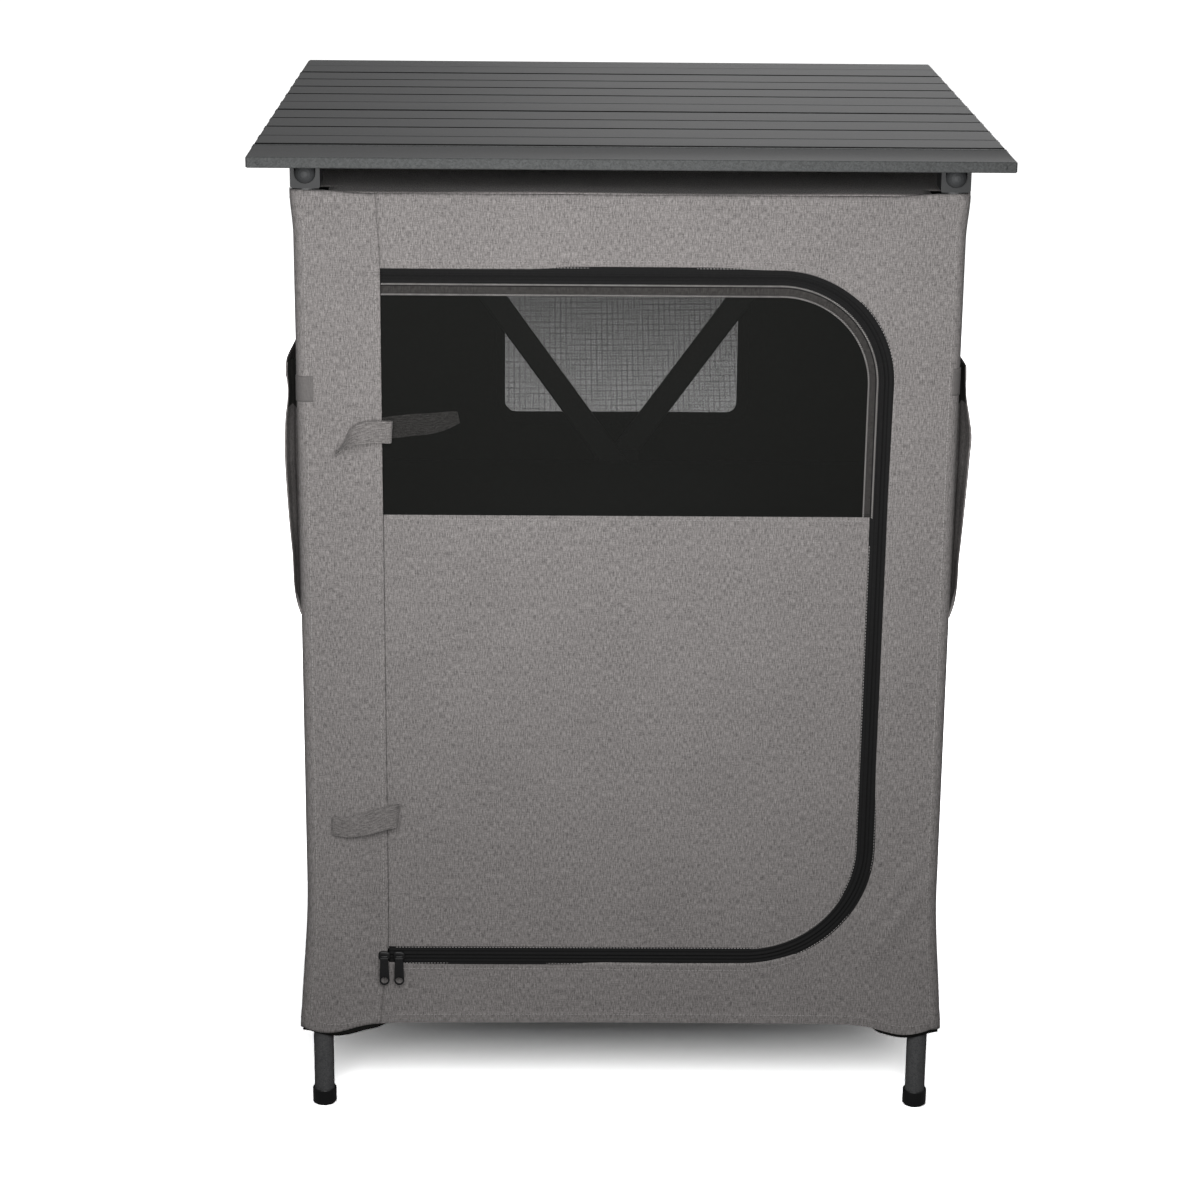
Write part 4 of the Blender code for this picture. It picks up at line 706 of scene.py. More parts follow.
def front_back(x, z):
    """How far the front cloth stands back from its plane, in metres, less where it swells forward: the
    turns at the legs and the top hem, pulled folds by the lower right corner and slack between."""
    edge = body_edge(z)
    away = np.clip(edge - np.abs(x), 0, 1)
    back = turned_edge(away)
    back = back - drape(x, z, 0.7) * slack_share(away, z)
    along = (x - 0.262) * 0.55 + (z - 0.20) * 0.83
    over = (x - 0.262) * 0.83 - (z - 0.20) * 0.55
    back = back - 0.0021 * bell(over, 0.0, 0.007) * bell(along, 0.0, 0.055)
    back = back - 0.0015 * bell(over, -0.019, 0.006) * bell(along, 0.02, 0.045)
    left = np.abs(x + 0.262 + 0.02 * (z - 0.14))
    back = back - 0.0016 * bell(left, 0.0, 0.010) * bell(z, 0.15, 0.05)
    back = back + HEM_ROLL - rolled(hem_top(x) - z)
    hem = 0.0005 * (1 - ramp(z - hem_low(x), 0.009, 0.0105))
    return back - hem


def front_points(x, z):
    """Points of the front cloth's outer face."""
    return np.stack([x, -BODY_HALF + front_back(x, z), z], -1)


def zip_line(out):
    """The zip's run as points (x, z), moved outwards by out: along the top from the seam, round a
    quarter circle, down a slightly leaning side, round a wider one and back to the seam."""
    top = np.linspace(SEAM_X, ZIP_RIGHT - ZIP_TOP_ROUND, 120, endpoint=False)
    bend = np.linspace(math.pi / 2, 0, 60, endpoint=False)
    down_share = np.linspace(0, 1, 110, endpoint=False)
    low_bend = np.linspace(0, -math.pi / 2, 64, endpoint=False)
    foot = np.linspace(ZIP_RIGHT_LOW - ZIP_BOTTOM_ROUND, SEAM_X, 120)
    side_high, side_low = ZIP_TOP - ZIP_TOP_ROUND, ZIP_BOTTOM + ZIP_BOTTOM_ROUND
    r1, r2 = ZIP_TOP_ROUND + out, ZIP_BOTTOM_ROUND + out
    x = [
        top,
        ZIP_RIGHT - ZIP_TOP_ROUND + r1 * np.cos(bend),
        ZIP_RIGHT + out + (ZIP_RIGHT_LOW - ZIP_RIGHT) * down_share,
        ZIP_RIGHT_LOW - ZIP_BOTTOM_ROUND + r2 * np.cos(low_bend),
        foot,
    ]
    z = [
        np.full_like(top, ZIP_TOP + out),
        side_high + r1 * np.sin(bend),
        side_high + (side_low - side_high) * down_share,
        side_low + r2 * np.sin(low_bend),
        np.full_like(foot, ZIP_BOTTOM - out),
    ]
    return np.stack([np.concatenate(x), np.concatenate(z)], -1)


def surround_rim():
    """The body's edge opposite each point of zip_line: straight up from the top run, out to the corner
    over the first half of a bend, and down the side over the second half, and the same below."""
    line = zip_line(0.0)
    x, z = line[:, 0].copy(), line[:, 1].copy()
    first, second = 120, 180
    third, fourth = 290, 354
    half = np.linspace(0, 1, 30, endpoint=False)
    corner_x = BODY_HALF
    # 1 and -1 mark the points that are set on the top hem, the lower hem or the side further down.
    x[first : first + 30] = x[first] + (corner_x - x[first]) * half
    z[:first + 30] = 1.0
    z[first + 30 : second] = HEM_HIGH + (ZIP_TOP - ZIP_TOP_ROUND - HEM_HIGH) * half
    x[first + 30 : third + 32] = 1.0
    half = np.linspace(0, 1, 32, endpoint=False)
    z[third : third + 32] = z[third] + (hem_low(np.array(corner_x)) - z[third]) * half
    x[third + 32 : fourth] = corner_x + (ZIP_RIGHT_LOW - ZIP_BOTTOM_ROUND - corner_x) * half
    z[third + 32 :] = -1.0
    at_top, at_foot = z == 1.0, z == -1.0
    z[at_top] = hem_top(np.minimum(x[at_top], BODY_HALF))
    z[at_foot] = hem_low(np.minimum(x[at_foot], BODY_HALF))
    at_side = x == 1.0
    x[at_side] = body_edge(z[at_side])
    x = np.where(x > BODY_HALF - 0.0001, body_edge(z), x)
    return np.stack([x, z], -1)


def seam_line(z):
    """The upright seam's x: it leans left towards both hems."""
    return SEAM_X - 0.0032 * ramp(z, 0.80, 0.877) - 0.0095 * (1 - ramp(z, 0.07, 0.19))


def thicken(made, depth, under=0, rim=0):
    """Gives a sheet its thickness behind its face, with another material on the back and the rim."""
    wall = made.modifiers.new("wall", "SOLIDIFY")
    wall.thickness = depth
    wall.offset = -1.0
    wall.material_offset = under
    wall.material_offset_rim = rim
    return made


def on_left_frame(made, node_name=None, body="left_frame"):
    """Attaches cloth to a body, the left frame by default, with its own mesh, and hides the CAD node."""
    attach(made, body)
    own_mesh(made)
    if node_name:
        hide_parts(node_name)
    return made


inner = zip_line(TAPE_HALF)
rim = surround_rim()
inner[:, 0] = np.maximum(inner[:, 0], seam_line(inner[:, 1]))
turn_steps = 1 - TURN_ROUND / 0.062 * (1 - np.sin(np.linspace(0, math.pi / 2, 9)))
middle_steps = np.linspace(0.17, turn_steps[0] - 0.03, 22)
share = np.concatenate([[0, 0.012, 0.03, 0.06, 0.10, 0.13], middle_steps, turn_steps])
x = inner[:, None, 0] * (1 - share) + rim[:, None, 0] * share
z = inner[:, None, 1] * (1 - share) + rim[:, None, 1] * share
lean = (x - SEAM_X) / (BODY_HALF - SEAM_X)
x = x + np.clip(1 - lean, 0, 1) ** 6 * (seam_line(z) - SEAM_X)
points = front_points(x, z)
near_zip = np.exp(-share * 0.066 / 0.0012)[None]
points[..., 1] += 0.0004 * near_zip - 0.0007 * np.exp(-(((share * 0.066 - 0.003) / 0.002) ** 2))[None]
uv = np.stack([x, z], -1)
surround = piece("front_surround_cloth", [grid(points, uv)], [linen, lining])
thicken(surround, CLOTH_THICK, under=1)
on_left_frame(surround, "front_surround")

top_steps = [0.990, 0.9935, 0.996, 0.998, 1.0]
rise = np.concatenate([[0, 0.003, 0.008, 0.012], np.linspace(0.018, 0.985, 190), top_steps])
angle = np.linspace(0, math.pi / 2, 9)
across = np.concatenate(
    [TURN_ROUND * (1 - np.cos(angle)), np.linspace(0.013, 0.074, 26), [0.0750, 0.0758, 0.0764]]
)
base = -BODY_HALF + across[:, None] * np.ones_like(rise)[None]
z = hem_low(base) + (hem_top(base) - hem_low(base)) * rise[None]
x = -body_edge(z) + across[:, None] / across[-1] * (seam_line(z) + body_edge(z))
points = front_points(x, z)
to_seam = (across[-1] - across)[:, None]
rolled_in = 0.0004 * np.exp(-to_seam / 0.0005)
points[..., 1] += rolled_in - 0.0006 * np.exp(-(((to_seam - 0.0025) / 0.0016) ** 2))
strip = piece("front_strip_cloth", [grid(points, np.stack([x + 0.37, z], -1))], [linen, lining])
thicken(strip, CLOTH_THICK, under=1)
on_left_frame(strip, "front_surround")


def stitches(path, outward, pitch=0.0033, length=0.0024, width=0.00075, lift=0.00050, slant=0.0):
    """A row of stitches along a path of points: each is a short rod with drawn-in ends, lying along
    the path every pitch or turned from it by the slant, arched by lift times 1 - a^2, with five sides
    and four rings."""
    path = np.asarray(path, float)
    gone = np.concatenate([[0], np.cumsum(np.linalg.norm(np.diff(path, axis=0), axis=1))])
    spots = np.arange(pitch / 2, gone[-1], pitch)
    centre = np.stack([np.interp(spots, gone, path[:, k]) for k in range(3)], -1)
    ahead = np.stack([np.interp(spots + length / 2, gone, path[:, k]) for k in range(3)], -1)
    behind = np.stack([np.interp(spots - length / 2, gone, path[:, k]) for k in range(3)], -1)
    along = ahead - behind
    along /= np.linalg.norm(along, axis=1, keepdims=True) + 1e-12
    outward = np.broadcast_to(np.asarray(outward, float), centre.shape)
    side = np.cross(outward, along)
    side /= np.linalg.norm(side, axis=1, keepdims=True) + 1e-12
    out = np.cross(along, side)
    along, side = (
        math.cos(slant) * along + math.sin(slant) * side,
        math.cos(slant) * side - math.sin(slant) * along,
    )
    a = np.array([-1.0, -0.72, 0.72, 1.0])
    fat = np.array([0.25, 0.95, 0.95, 0.25])
    turn = np.linspace(0, 2 * math.pi, 5, endpoint=False)
    points = (
        centre[:, None, None]
        + along[:, None, None] * (a * length / 2)[None, :, None, None]
        + side[:, None, None] * (fat[:, None] * np.cos(turn) * width / 2)[None, :, :, None]
        + out[:, None, None]
        * ((fat[:, None] * np.sin(turn) * width / 2) + lift * (1 - a**2)[:, None])[None, :, :, None]
    )
    count = len(spots)
    ring, around_ = np.meshgrid(np.arange(3), np.arange(5), indexing="ij")
    after = (around_ + 1) % 5
    quad = np.stack(
        [ring * 5 + around_, ring * 5 + after, (ring + 1) * 5 + after, (ring + 1) * 5 + around_], -1
    ).reshape(-1, 4)
    start = np.arange(count)[:, None, None] * 20
    sides = (start + quad[None]).reshape(-1, 4).tolist()
    heads = (start[:, :, 0] + np.arange(5)[::-1][None]).tolist()
    tails = (start[:, :, 0] + 15 + np.arange(5)[None]).tolist()
    loops = count * (15 * 4 + 10)
    return points.reshape(-1, 3), sides + heads + tails, np.zeros((loops, 2)), 0


FRONT_OUT = (0, -1, 0)
rows = []
zip_seam = zip_line(TAPE_HALF + 0.0072)[2:-2]
rows.append(stitches(front_points(zip_seam[:, 0], zip_seam[:, 1]), FRONT_OUT))
zip_edge = zip_line(TAPE_HALF + 0.0014)[2:-2]
edge_points = front_points(zip_edge[:, 0], zip_edge[:, 1])
edge_points[:, 1] -= 0.0004
rows.append(stitches(edge_points, FRONT_OUT, pitch=0.0029, length=0.0021))
hem_x = np.linspace(-0.284, 0.284, 300)
rows.append(stitches(front_points(hem_x, hem_low(hem_x) + 0.0085), FRONT_OUT))
upright_z = np.linspace(0.095, 0.866, 300)
for way in (-1, 1):
    corner_x = way * (body_edge(upright_z) - 0.0098)
    rows.append(stitches(front_points(corner_x, upright_z), FRONT_OUT))
seam_x = seam_line(upright_z) - 0.0042
rows.append(stitches(front_points(seam_x, upright_z), FRONT_OUT, pitch=0.0035))
front_stitches = piece("front_stitches", rows, [thread_grey])
on_left_frame(front_stitches, None)

# The roof panel: the same grey cloth with a black back, hung level just under the top hems. Its corners
# are cut out for the legs, and the cuts are bound in black tape.
ROOF_TOP = 0.8752
NOTCH = 0.0320
ROOF_HALF = 0.2918
BINDING_END, BINDING_BEND = 0.2905, 0.2565

notch_lines = [-BODY_HALF + NOTCH, BODY_HALF - NOTCH]
lines = np.unique(np.concatenate([np.linspace(-ROOF_HALF, ROOF_HALF, 61), notch_lines]))
x, y = np.meshgrid(lines, lines, indexing="ij")
dip = 0.0032 * (1 - (x / ROOF_HALF) ** 2) * (1 - (y / ROOF_HALF) ** 2)
dip = dip + 0.0005 * np.sin(x * 23) * np.sin(y * 17)
points = np.stack([x, y, ROOF_TOP - 0.0010 - dip], -1)
middle_x = (x[:-1, :-1] + x[1:, 1:]) / 2
middle_y = (y[:-1, :-1] + y[1:, 1:]) / 2
keep = ~((np.abs(middle_x) > BODY_HALF - NOTCH) & (np.abs(middle_y) > BODY_HALF - NOTCH))
roof = piece("roof_cloth", [grid(points, np.stack([x, y], -1), keep=keep)], [linen, lining])
thicken(roof, CLOTH_THICK, under=1)
on_left_frame(roof, "roof_panel")

binding_tape = finish_of(
    "black_binding_tape", {"Specular IOR Level": 0.25}, melange, "Object", bump=0.0003, strength=0.4,
    Colour=(0.012, 0.012, 0.012, 1), Contrast=0.4, Thread=1100.0,
)


def tube_along(path, radius_a, radius_b, side, sides=10):
    """An oval cord along a path: radius_a along the side vector and radius_b along its cross product
    with the path's direction, cut square at both ends."""
    path = np.asarray(path, float)
    along = np.gradient(path, axis=0)
    along /= np.linalg.norm(along, axis=1, keepdims=True)
    side = np.broadcast_to(np.asarray(side, float), path.shape)
    side = side - (side * along).sum(1, keepdims=True) * along
    side /= np.linalg.norm(side, axis=1, keepdims=True)
    other = np.cross(along, side)
    turn = np.linspace(0, 2 * math.pi, sides, endpoint=False)
    points = (
        path[:, None]
        + side[:, None] * (radius_a * np.cos(turn))[None, :, None]
        + other[:, None] * (radius_b * np.sin(turn))[None, :, None]
    )
    return grid(points, around=True, ends=True, turn=True)


# The bends lie past the cut's corner, so the cord doubles back there for a few millimetres.
edge = BODY_HALF - NOTCH
parts = []
for way_x in (-1, 1):
    for way_y in (-1, 1):
        inner_bend = edge + 0.0015
        corner = np.array([
            [edge, BINDING_END, 0], [edge, BINDING_BEND, 0], [inner_bend, inner_bend, 0],
            [BINDING_BEND, edge, 0], [BINDING_END, edge, 0],
        ])
        share = np.linspace(0, 4, 31)
        path = np.stack([np.interp(share, range(5), corner[:, k]) for k in range(3)], -1)
        path = path * (way_x, way_y, 1) + (0, 0, ROOF_TOP - 0.0020)
        parts.append(tube_along(path, 0.0014, 0.0007, (way_x * 0.7, way_y * 0.7, 0)))
roof_binding = piece("roof_corner_binding", parts, [binding_tape])
on_left_frame(roof_binding, None)

# The side panels: one sheet of the same cloth on each side, turned round the legs to meet the front
# and rear panels, slack between them, with a doubled lower hem.
x_ways = {"left": -1, "right": 1}
SIDE_PHASE = {"left": 1.3, "right": 2.9}


def side_out(y, z, phase):
    """A side panel's distance from the middle: the body's edge, less the turn at each leg, with slack
    swells that grow towards the lower half."""
    away = np.clip(BODY_HALF - np.abs(y), 0, 1)
    slack = ramp(away, 0.006, 0.06) * ramp(z, 0.08, 0.14) * ramp(HEM_HIGH - z, 0.0, 0.06)
    swell = 0.0014 * np.sin(y * 11 + phase) * (1 + 0.6 * np.sin(z * 9 + phase))
    swell = swell + 0.0016 * np.sin(y * 17 + z * 6 + phase) * (1 - ramp(z, 0.30, 0.55))
    hem = 0.0005 * (1 - ramp(z - 0.0885, 0.009, 0.0105))
    by_pocket = ramp(z, 0.47, 0.52) * (1 - ramp(z, 0.72, 0.76))
    return body_edge(z) - turned_edge(away) + swell * slack * (1 - 0.7 * by_pocket) + hem


angle = np.linspace(0.06, math.pi / 2, 8)
turned = BODY_HALF - TURN_ROUND * (1 - np.cos(angle))
across = np.unique(np.round(np.concatenate([-turned, np.linspace(-0.2815, 0.2815, 110), turned]), 6))
rise = np.concatenate([[0, 0.004, 0.008, 0.012], np.linspace(0.018, 0.985, 150), [0.992, 0.996, 1.0]])
for side, way in x_ways.items():
    y = across[:, None] * np.ones_like(rise)[None]
    z = hem_low(y) + (hem_top(y) - hem_low(y)) * rise[None]
    out = side_out(y, z, SIDE_PHASE[side]) - (HEM_ROLL - rolled(hem_top(y) - z))
    points = np.stack([way * out, y, z], -1)
    side_uv = np.stack([y + 0.9 * way, z], -1)
    panel = piece(f"side_cloth_{side}", [grid(points, side_uv, turn=(way < 0))], [linen, lining])
    thicken(panel, CLOTH_THICK, under=1)
    body = "left_frame" if side == "left" else "right_frame"
    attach(panel, body)
    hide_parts(f"panel_{side}")
    hem_y = np.linspace(-0.284, 0.284, 300)
    rows = []
    for hem_z in (hem_low(hem_y) + 0.0085, hem_top(hem_y) - 0.0085):
        path = np.stack([way * side_out(hem_y, hem_z, SIDE_PHASE[side]), hem_y, hem_z], -1)
        rows.append(stitches(path, (way, 0, 0)))
    side_stitches = piece(f"side_stitches_{side}", rows, [thread_grey])
    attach(side_stitches, body)

# The rear panel: the same cloth, with a net window that has a broad black bound border. The net is
# black knitted mesh with about a third of its area open.
WINDOW = (-0.1208, 0.1303, 0.5376, 0.7700)
WINDOW_ROUND = 0.012
BORDER = 0.0120


def box_loop(box, radius, count=60):
    """A rounded rectangle as points (x, z), from the middle of one corner arc to the next, count points
    a side, so the four corners fall on equal counts."""
    left, right, low, high = box
    corners_ = [(right - radius, high - radius, 0.5), (right - radius, low + radius, -0.5)]
    corners_ += [(left + radius, low + radius, -1.5), (left + radius, high - radius, -2.5)]
    out = []
    for k in range(4):
        cx, cz, turn = corners_[k]
        nx, nz, _ = corners_[(k + 1) % 4]
        first = corner_arc(cx, cz, turn, turn - 0.5, radius, 7)
        last = corner_arc(nx, nz, turn - 0.5, turn - 1.0, radius, 7)
        line = np.linspace(first[-1], last[0], count - 12)[1:-1]
        out.append(np.vstack([first, line, last[:-1]]))
    return np.vstack(out)


def grown(box, by):
    """A box (left, right, low, high) made larger by this much on every side."""
    return (box[0] - by, box[1] + by, box[2] - by, box[3] + by)


inner = box_loop(grown(WINDOW, BORDER), WINDOW_ROUND + BORDER)
count = len(inner) // 4
flat = np.linspace(0, 1, count, endpoint=False)
lower, upper = hem_low(np.array(BODY_HALF)), hem_top(np.array(BODY_HALF))
side_z = lower + (upper - lower) * flat
down_z = upper - (upper - lower) * flat
run_x = body_edge(upper) * (2 * flat - 1)
low_x = -body_edge(lower) * (2 * flat - 1)
rim_x = np.concatenate([body_edge(down_z), low_x, -body_edge(side_z), run_x])
rim_z = np.concatenate([down_z, hem_low(low_x), side_z, hem_top(run_x)])
turn_steps = 1 - 0.014 / 0.17 * (1 - np.sin(np.linspace(0, math.pi / 2, 10)))
share = np.concatenate([[0, 0.006, 0.015], np.linspace(0.03, turn_steps[0] - 0.01, 40), turn_steps])
x = inner[:, None, 0] * (1 - share) + rim_x[:, None] * share
z = inner[:, None, 1] * (1 - share) + rim_z[:, None] * share


def rear_points(x, z, proud=0.0):
    """Points of the rear cloth's outer face, with turns at the legs, a rolled top hem and slack."""
    away = np.clip(body_edge(z) - np.abs(x), 0, 1)
    back = turned_edge(away) + HEM_ROLL - rolled(hem_top(x) - z)
    swell = np.maximum(drape(x, z, 2.1) * slack_share(away, z), -0.0004)
    return np.stack([x, BODY_HALF - back + swell + proud, z], -1)


around_once = np.r_[0 : len(x), 0]
rear_uv = np.stack([-x + 1.9, z], -1)[around_once]
rear = piece("rear_cloth", [grid(rear_points(x, z), rear_uv, looped=True, turn=True)], [linen, lining])
thicken(rear, CLOTH_THICK, under=1)
on_left_frame(rear, "rear_panel")

by = BORDER + 0.0030
loop = box_loop(grown(WINDOW, by), WINDOW_ROUND + by)
loop = np.vstack([loop, loop[:1]])
rows = [stitches(rear_points(loop[:, 0], loop[:, 1]), (0, 1, 0))]
rows.append(stitches(rear_points(hem_x, hem_low(hem_x) + 0.0085), (0, 1, 0)))
for way in (-1, 1):
    rows.append(stitches(rear_points(way * (body_edge(upright_z) - 0.0098), upright_z), (0, 1, 0)))
rear_stitches = piece("rear_stitches", rows, [thread_grey])
on_left_frame(rear_stitches, None)

outer = box_loop(grown(WINDOW, BORDER + 0.0012), WINDOW_ROUND + BORDER)
inner = box_loop(WINDOW, WINDOW_ROUND)
share = np.linspace(0, 1, 13)
x = inner[:, None, 0] * (1 - share) + outer[:, None, 0] * share
z = inner[:, None, 1] * (1 - share) + outer[:, None, 1] * share
lift = 0.0006 * np.sin(np.pi * share) ** 0.5
lift = lift + 0.00025 * np.cos(share * 2 * math.pi * 3) * np.sin(np.pi * share)
points = rear_points(x, z, 0.0)
points[..., 1] += lift[None]
border_uv = np.stack([x, z], -1)[around_once]
border = piece("rear_window_border", [grid(points, border_uv, looped=True, turn=True)], [binding_tape])
thicken(border, 0.0022)
on_left_frame(border, "rear_panel")

NET_BLACK = (0.0135, 0.0140, 0.0128)
NET_OPENING, NET_SOFT = 0.62, 1.2
DOOR_NET_PITCH, REAR_NET_PITCH = 0.00060, 0.00130
net_weave, given, made = node_group(
    "knitted_net",
    [
        ("Vector", "NodeSocketVector", (0, 0, 0)),
        ("Pitch", "NodeSocketFloat", 0.00075),
        ("Opening", "NodeSocketFloat", NET_OPENING),
    ],
    [("Mask", "NodeSocketFloat"), ("Height", "NodeSocketFloat"), ("Tone", "NodeSocketFloat")],
)
axes = node(net_weave, "ShaderNodeSeparateXYZ", {0: given.outputs["Vector"]})
turns = sums(net_weave, "DIVIDE", math.pi, given.outputs["Pitch"])
bars = []
for axis in (0, 1):
    wave = sums(net_weave, "SINE", sums(net_weave, "MULTIPLY", axes.outputs[axis], turns))
    bars.append(sums(net_weave, "ABSOLUTE", wave))
narrow = sums(net_weave, "MINIMUM", *bars)
depth_in = sums(net_weave, "SUBTRACT", given.outputs["Opening"], narrow)
solid = sums(net_weave, "MULTIPLY_ADD", depth_in, NET_SOFT, 0.5)
solid = sums(net_weave, "MINIMUM", sums(net_weave, "MAXIMUM", solid, 0.0), 1.0)
net_weave.links.new(solid, made.inputs["Mask"])
net_weave.links.new(sums(net_weave, "SUBTRACT", 1.0, narrow), made.inputs["Height"])
knit = noise(net_weave, given.outputs["Vector"], 700.0, 2.0)
net_weave.links.new(sums(net_weave, "MULTIPLY_ADD", knit, 0.8, 0.6), made.inputs["Tone"])


def net_finish(name, pitch):
    """Black net: the group's mask is its alpha, its tone varies the yarn, its height rounds it. A
    higher Opening value leaves less of the net open."""
    made = bpy.data.materials.new(name)
    made.use_nodes = True
    tree = made.node_tree
    shader = tree.nodes["Principled BSDF"]
    shader.inputs["Roughness"].default_value = 0.85
    shader.inputs["Specular IOR Level"].default_value = 0.2
    where = node(tree, "ShaderNodeTexCoord")
    pattern = place_group(tree, net_weave, Vector=where.outputs["UV"], Pitch=pitch, Opening=NET_OPENING)
    tree.links.new(tinted(tree, NET_BLACK, pattern.outputs["Tone"]), shader.inputs["Base Color"])
    tree.links.new(pattern.outputs["Mask"], shader.inputs["Alpha"])
    bumps = node(
        tree, "ShaderNodeBump", {"Height": pattern.outputs["Height"], "Distance": 0.0002, "Strength": 0.4}
    )
    tree.links.new(bumps.outputs[0], shader.inputs["Normal"])
    return made


net_black = net_finish("black_knitted_net", DOOR_NET_PITCH)
rear_net_black = net_finish("black_rear_net", REAR_NET_PITCH)
net_box = grown(WINDOW, 0.004)
x, z = np.meshgrid(np.linspace(*net_box[:2], 50), np.linspace(*net_box[2:], 46), indexing="ij")
points = rear_points(x, z, -0.0010)
rear_net = piece("rear_window_mesh", [grid(points, np.stack([x, z], -1), turn=True)], [rear_net_black])
on_left_frame(rear_net, "rear_window_net")

# The door: grey cloth below a large black net, held in the zip on three sides and in the upright seam
# on its left. Where the net is sewn down along the zip it lies over the cloth between two raised,
# lighter rows of overlock stitching.
NET_FOOT = 0.5850
NET_EDGE_TOP, NET_EDGE_SIDE = 0.0108, 0.0092


def door_back(x, z):
    """The door cloth's slack in its lower half: swells that fade to the zip and the seam."""
    inside = ramp(x - SEAM_X, 0.0, 0.05) * ramp(0.226 - x, 0.0, 0.05) * ramp(z - ZIP_BOTTOM, 0.0, 0.05)
    inside = inside * ramp(NET_FOOT - z, 0.0, 0.03)
    swell = 0.0016 * np.sin(x * 15 + 0.4) * np.sin(z * 9 + 0.6) + 0.0007 * np.sin(x * 29 - z * 17)
    pucker = 0.0010 * bell(z, NET_FOOT - 0.014, 0.006) * bell(x, -0.11, 0.03)
    pucker = pucker + 0.0008 * bell(z, NET_FOOT - 0.020, 0.005) * bell(x, -0.02, 0.02)
    return -swell * inside - pucker


line = zip_line(-TAPE_HALF)
right_side = line[180:354]
foot_right = line[354]
straight = np.linspace(NET_FOOT - 0.008, line[290, 1], 90)
levels = [[NET_FOOT, NET_FOOT - 0.0008, NET_FOOT - 0.004], straight, line[292:354:2, 1], [foot_right[1]]]
levels = np.unique(np.concatenate(levels))[::-1]
order = np.argsort(right_side[:, 1])
edge_z = np.append(foot_right[1], right_side[order, 1])
edge_x = np.interp(levels, edge_z, np.append(foot_right[0], right_side[order, 0]))
share = np.concatenate([[0, 0.001, 0.003, 0.008], np.linspace(0.02, 0.98, 120), [0.988, 0.994, 0.998, 1.0]])
seam = seam_line(levels) + 0.0002
x = seam[None, :] + (edge_x - seam)[None, :] * share[:, None]
z = np.broadcast_to(levels[None], x.shape)
from_seam, from_zip = share[:, None] * 0.44, (1 - share[:, None]) * 0.44
y = -BODY_HALF + door_back(x, z) + 0.0004 * np.exp(-from_seam / 0.0005)
y = y + 0.0004 * np.exp(-from_zip / 0.0012) + 0.0004 * np.exp(-(z - levels[-1]) / 0.0012)
door_uv = np.stack([x + 0.11, z + 0.013], -1)
door = piece("door_cloth", [grid(np.stack([x, y, z], -1), door_uv, turn=True)], [linen, lining])
thicken(door, CLOTH_THICK, under=1)
on_left_frame(door, "door_panel", body="door")

# Where the net is sewn down along the zip, a dark band of net over cloth runs between two rows of
# oblique overlock stitches in light grey thread.
edge_wide = [np.full(120, NET_EDGE_TOP), np.linspace(NET_EDGE_TOP, NET_EDGE_SIDE, 60)]
inner_off = np.concatenate([*edge_wide, np.full(300, NET_EDGE_SIDE)])
stop = 180 + int(np.searchsorted(-line[180:290, 1], -NET_FOOT))
normal_line = zip_line(-TAPE_HALF - 0.001) - line
normal_line /= np.linalg.norm(normal_line, axis=1, keepdims=True)
normal_line[:120] = (0, -1)
band_line = line[:stop].copy()
band_line[-1] = (np.interp(-NET_FOOT, -line[180:290, 1], line[180:290, 0]), NET_FOOT)
across = np.linspace(-0.06, 1, 21)
x = band_line[:, None, 0] + normal_line[:stop, None, 0] * inner_off[:stop, None] * across
z = band_line[:, None, 1] + normal_line[:stop, None, 1] * inner_off[:stop, None] * across
z[-1] = NET_FOOT
x = np.maximum(x, SEAM_X + 0.0004)
along_band = np.concatenate([[0], np.cumsum(np.linalg.norm(np.diff(band_line, axis=0), axis=1))])
height = 0.0006 * bell(across, 0.08, 0.10) + 0.0007 * bell(across, 0.90, 0.10)
y = -BODY_HALF + 0.0003 - np.broadcast_to(height[None], x.shape)
along_uv = np.broadcast_to(along_band[:, None], x.shape)
band_uv = np.stack([along_uv, np.broadcast_to(across[None] * 0.0105, x.shape)], -1)

band_cloth = finish_of(
    "net_over_cloth", {"Specular IOR Level": 0.2}, melange, "UV", bump=0.0004, strength=0.5,
    Colour=(0.052, 0.049, 0.047, 1), Contrast=1.0, Thread=900.0,
)
overlock_thread = finish_of(
    "overlock_thread", {"Specular IOR Level": 0.25, "Sheen Weight": 0.2}, melange, "Object", bump=0.0001,
    strength=0.2, Colour=(0.30, 0.288, 0.280, 1), Contrast=0.8, Thread=2500.0,
)
band = piece("net_edge_binding", [grid(np.stack([x, y, z], -1), band_uv, turn=True)], [band_cloth])
thicken(band, 0.0008)
on_left_frame(band, "door_panel", body="door")
rows = []
for near in (2, 18):
    path = np.stack([x[:, near], y[:, near] - 0.0002, z[:, near]], -1)
    rows.append(stitches(path, FRONT_OUT, pitch=0.0019, length=0.0024, width=0.0011, slant=0.7))
overlock = piece("net_edge_overlock", rows, [overlock_thread])
on_left_frame(overlock, None, body="door")
inner_edge = np.stack([x[:, -1], z[:, -1]], -1)

net_line = inner_edge.copy()
count = len(net_line)
share = np.linspace(0, 1, 46)[None, :]
top_z = net_line[:, 1][:, None]
foot_line = np.linspace(SEAM_X + 0.0006, net_line[-1, 0], count)[:, None]
x = net_line[:, 0][:, None] * (1 - share) + foot_line * share
z = top_z * (1 - share) + (NET_FOOT - 0.002) * share
mesh_y = -BODY_HALF + 0.0010 + 0.0012 * np.sin(x * 12 + 1) * np.sin((z - NET_FOOT) * 15)
mesh_points = np.stack([x, mesh_y, z], -1)
door_net = piece("door_mesh", [grid(mesh_points, np.stack([x, z], -1), turn=True)], [net_black])
on_left_frame(door_net, "door_net", body="door")

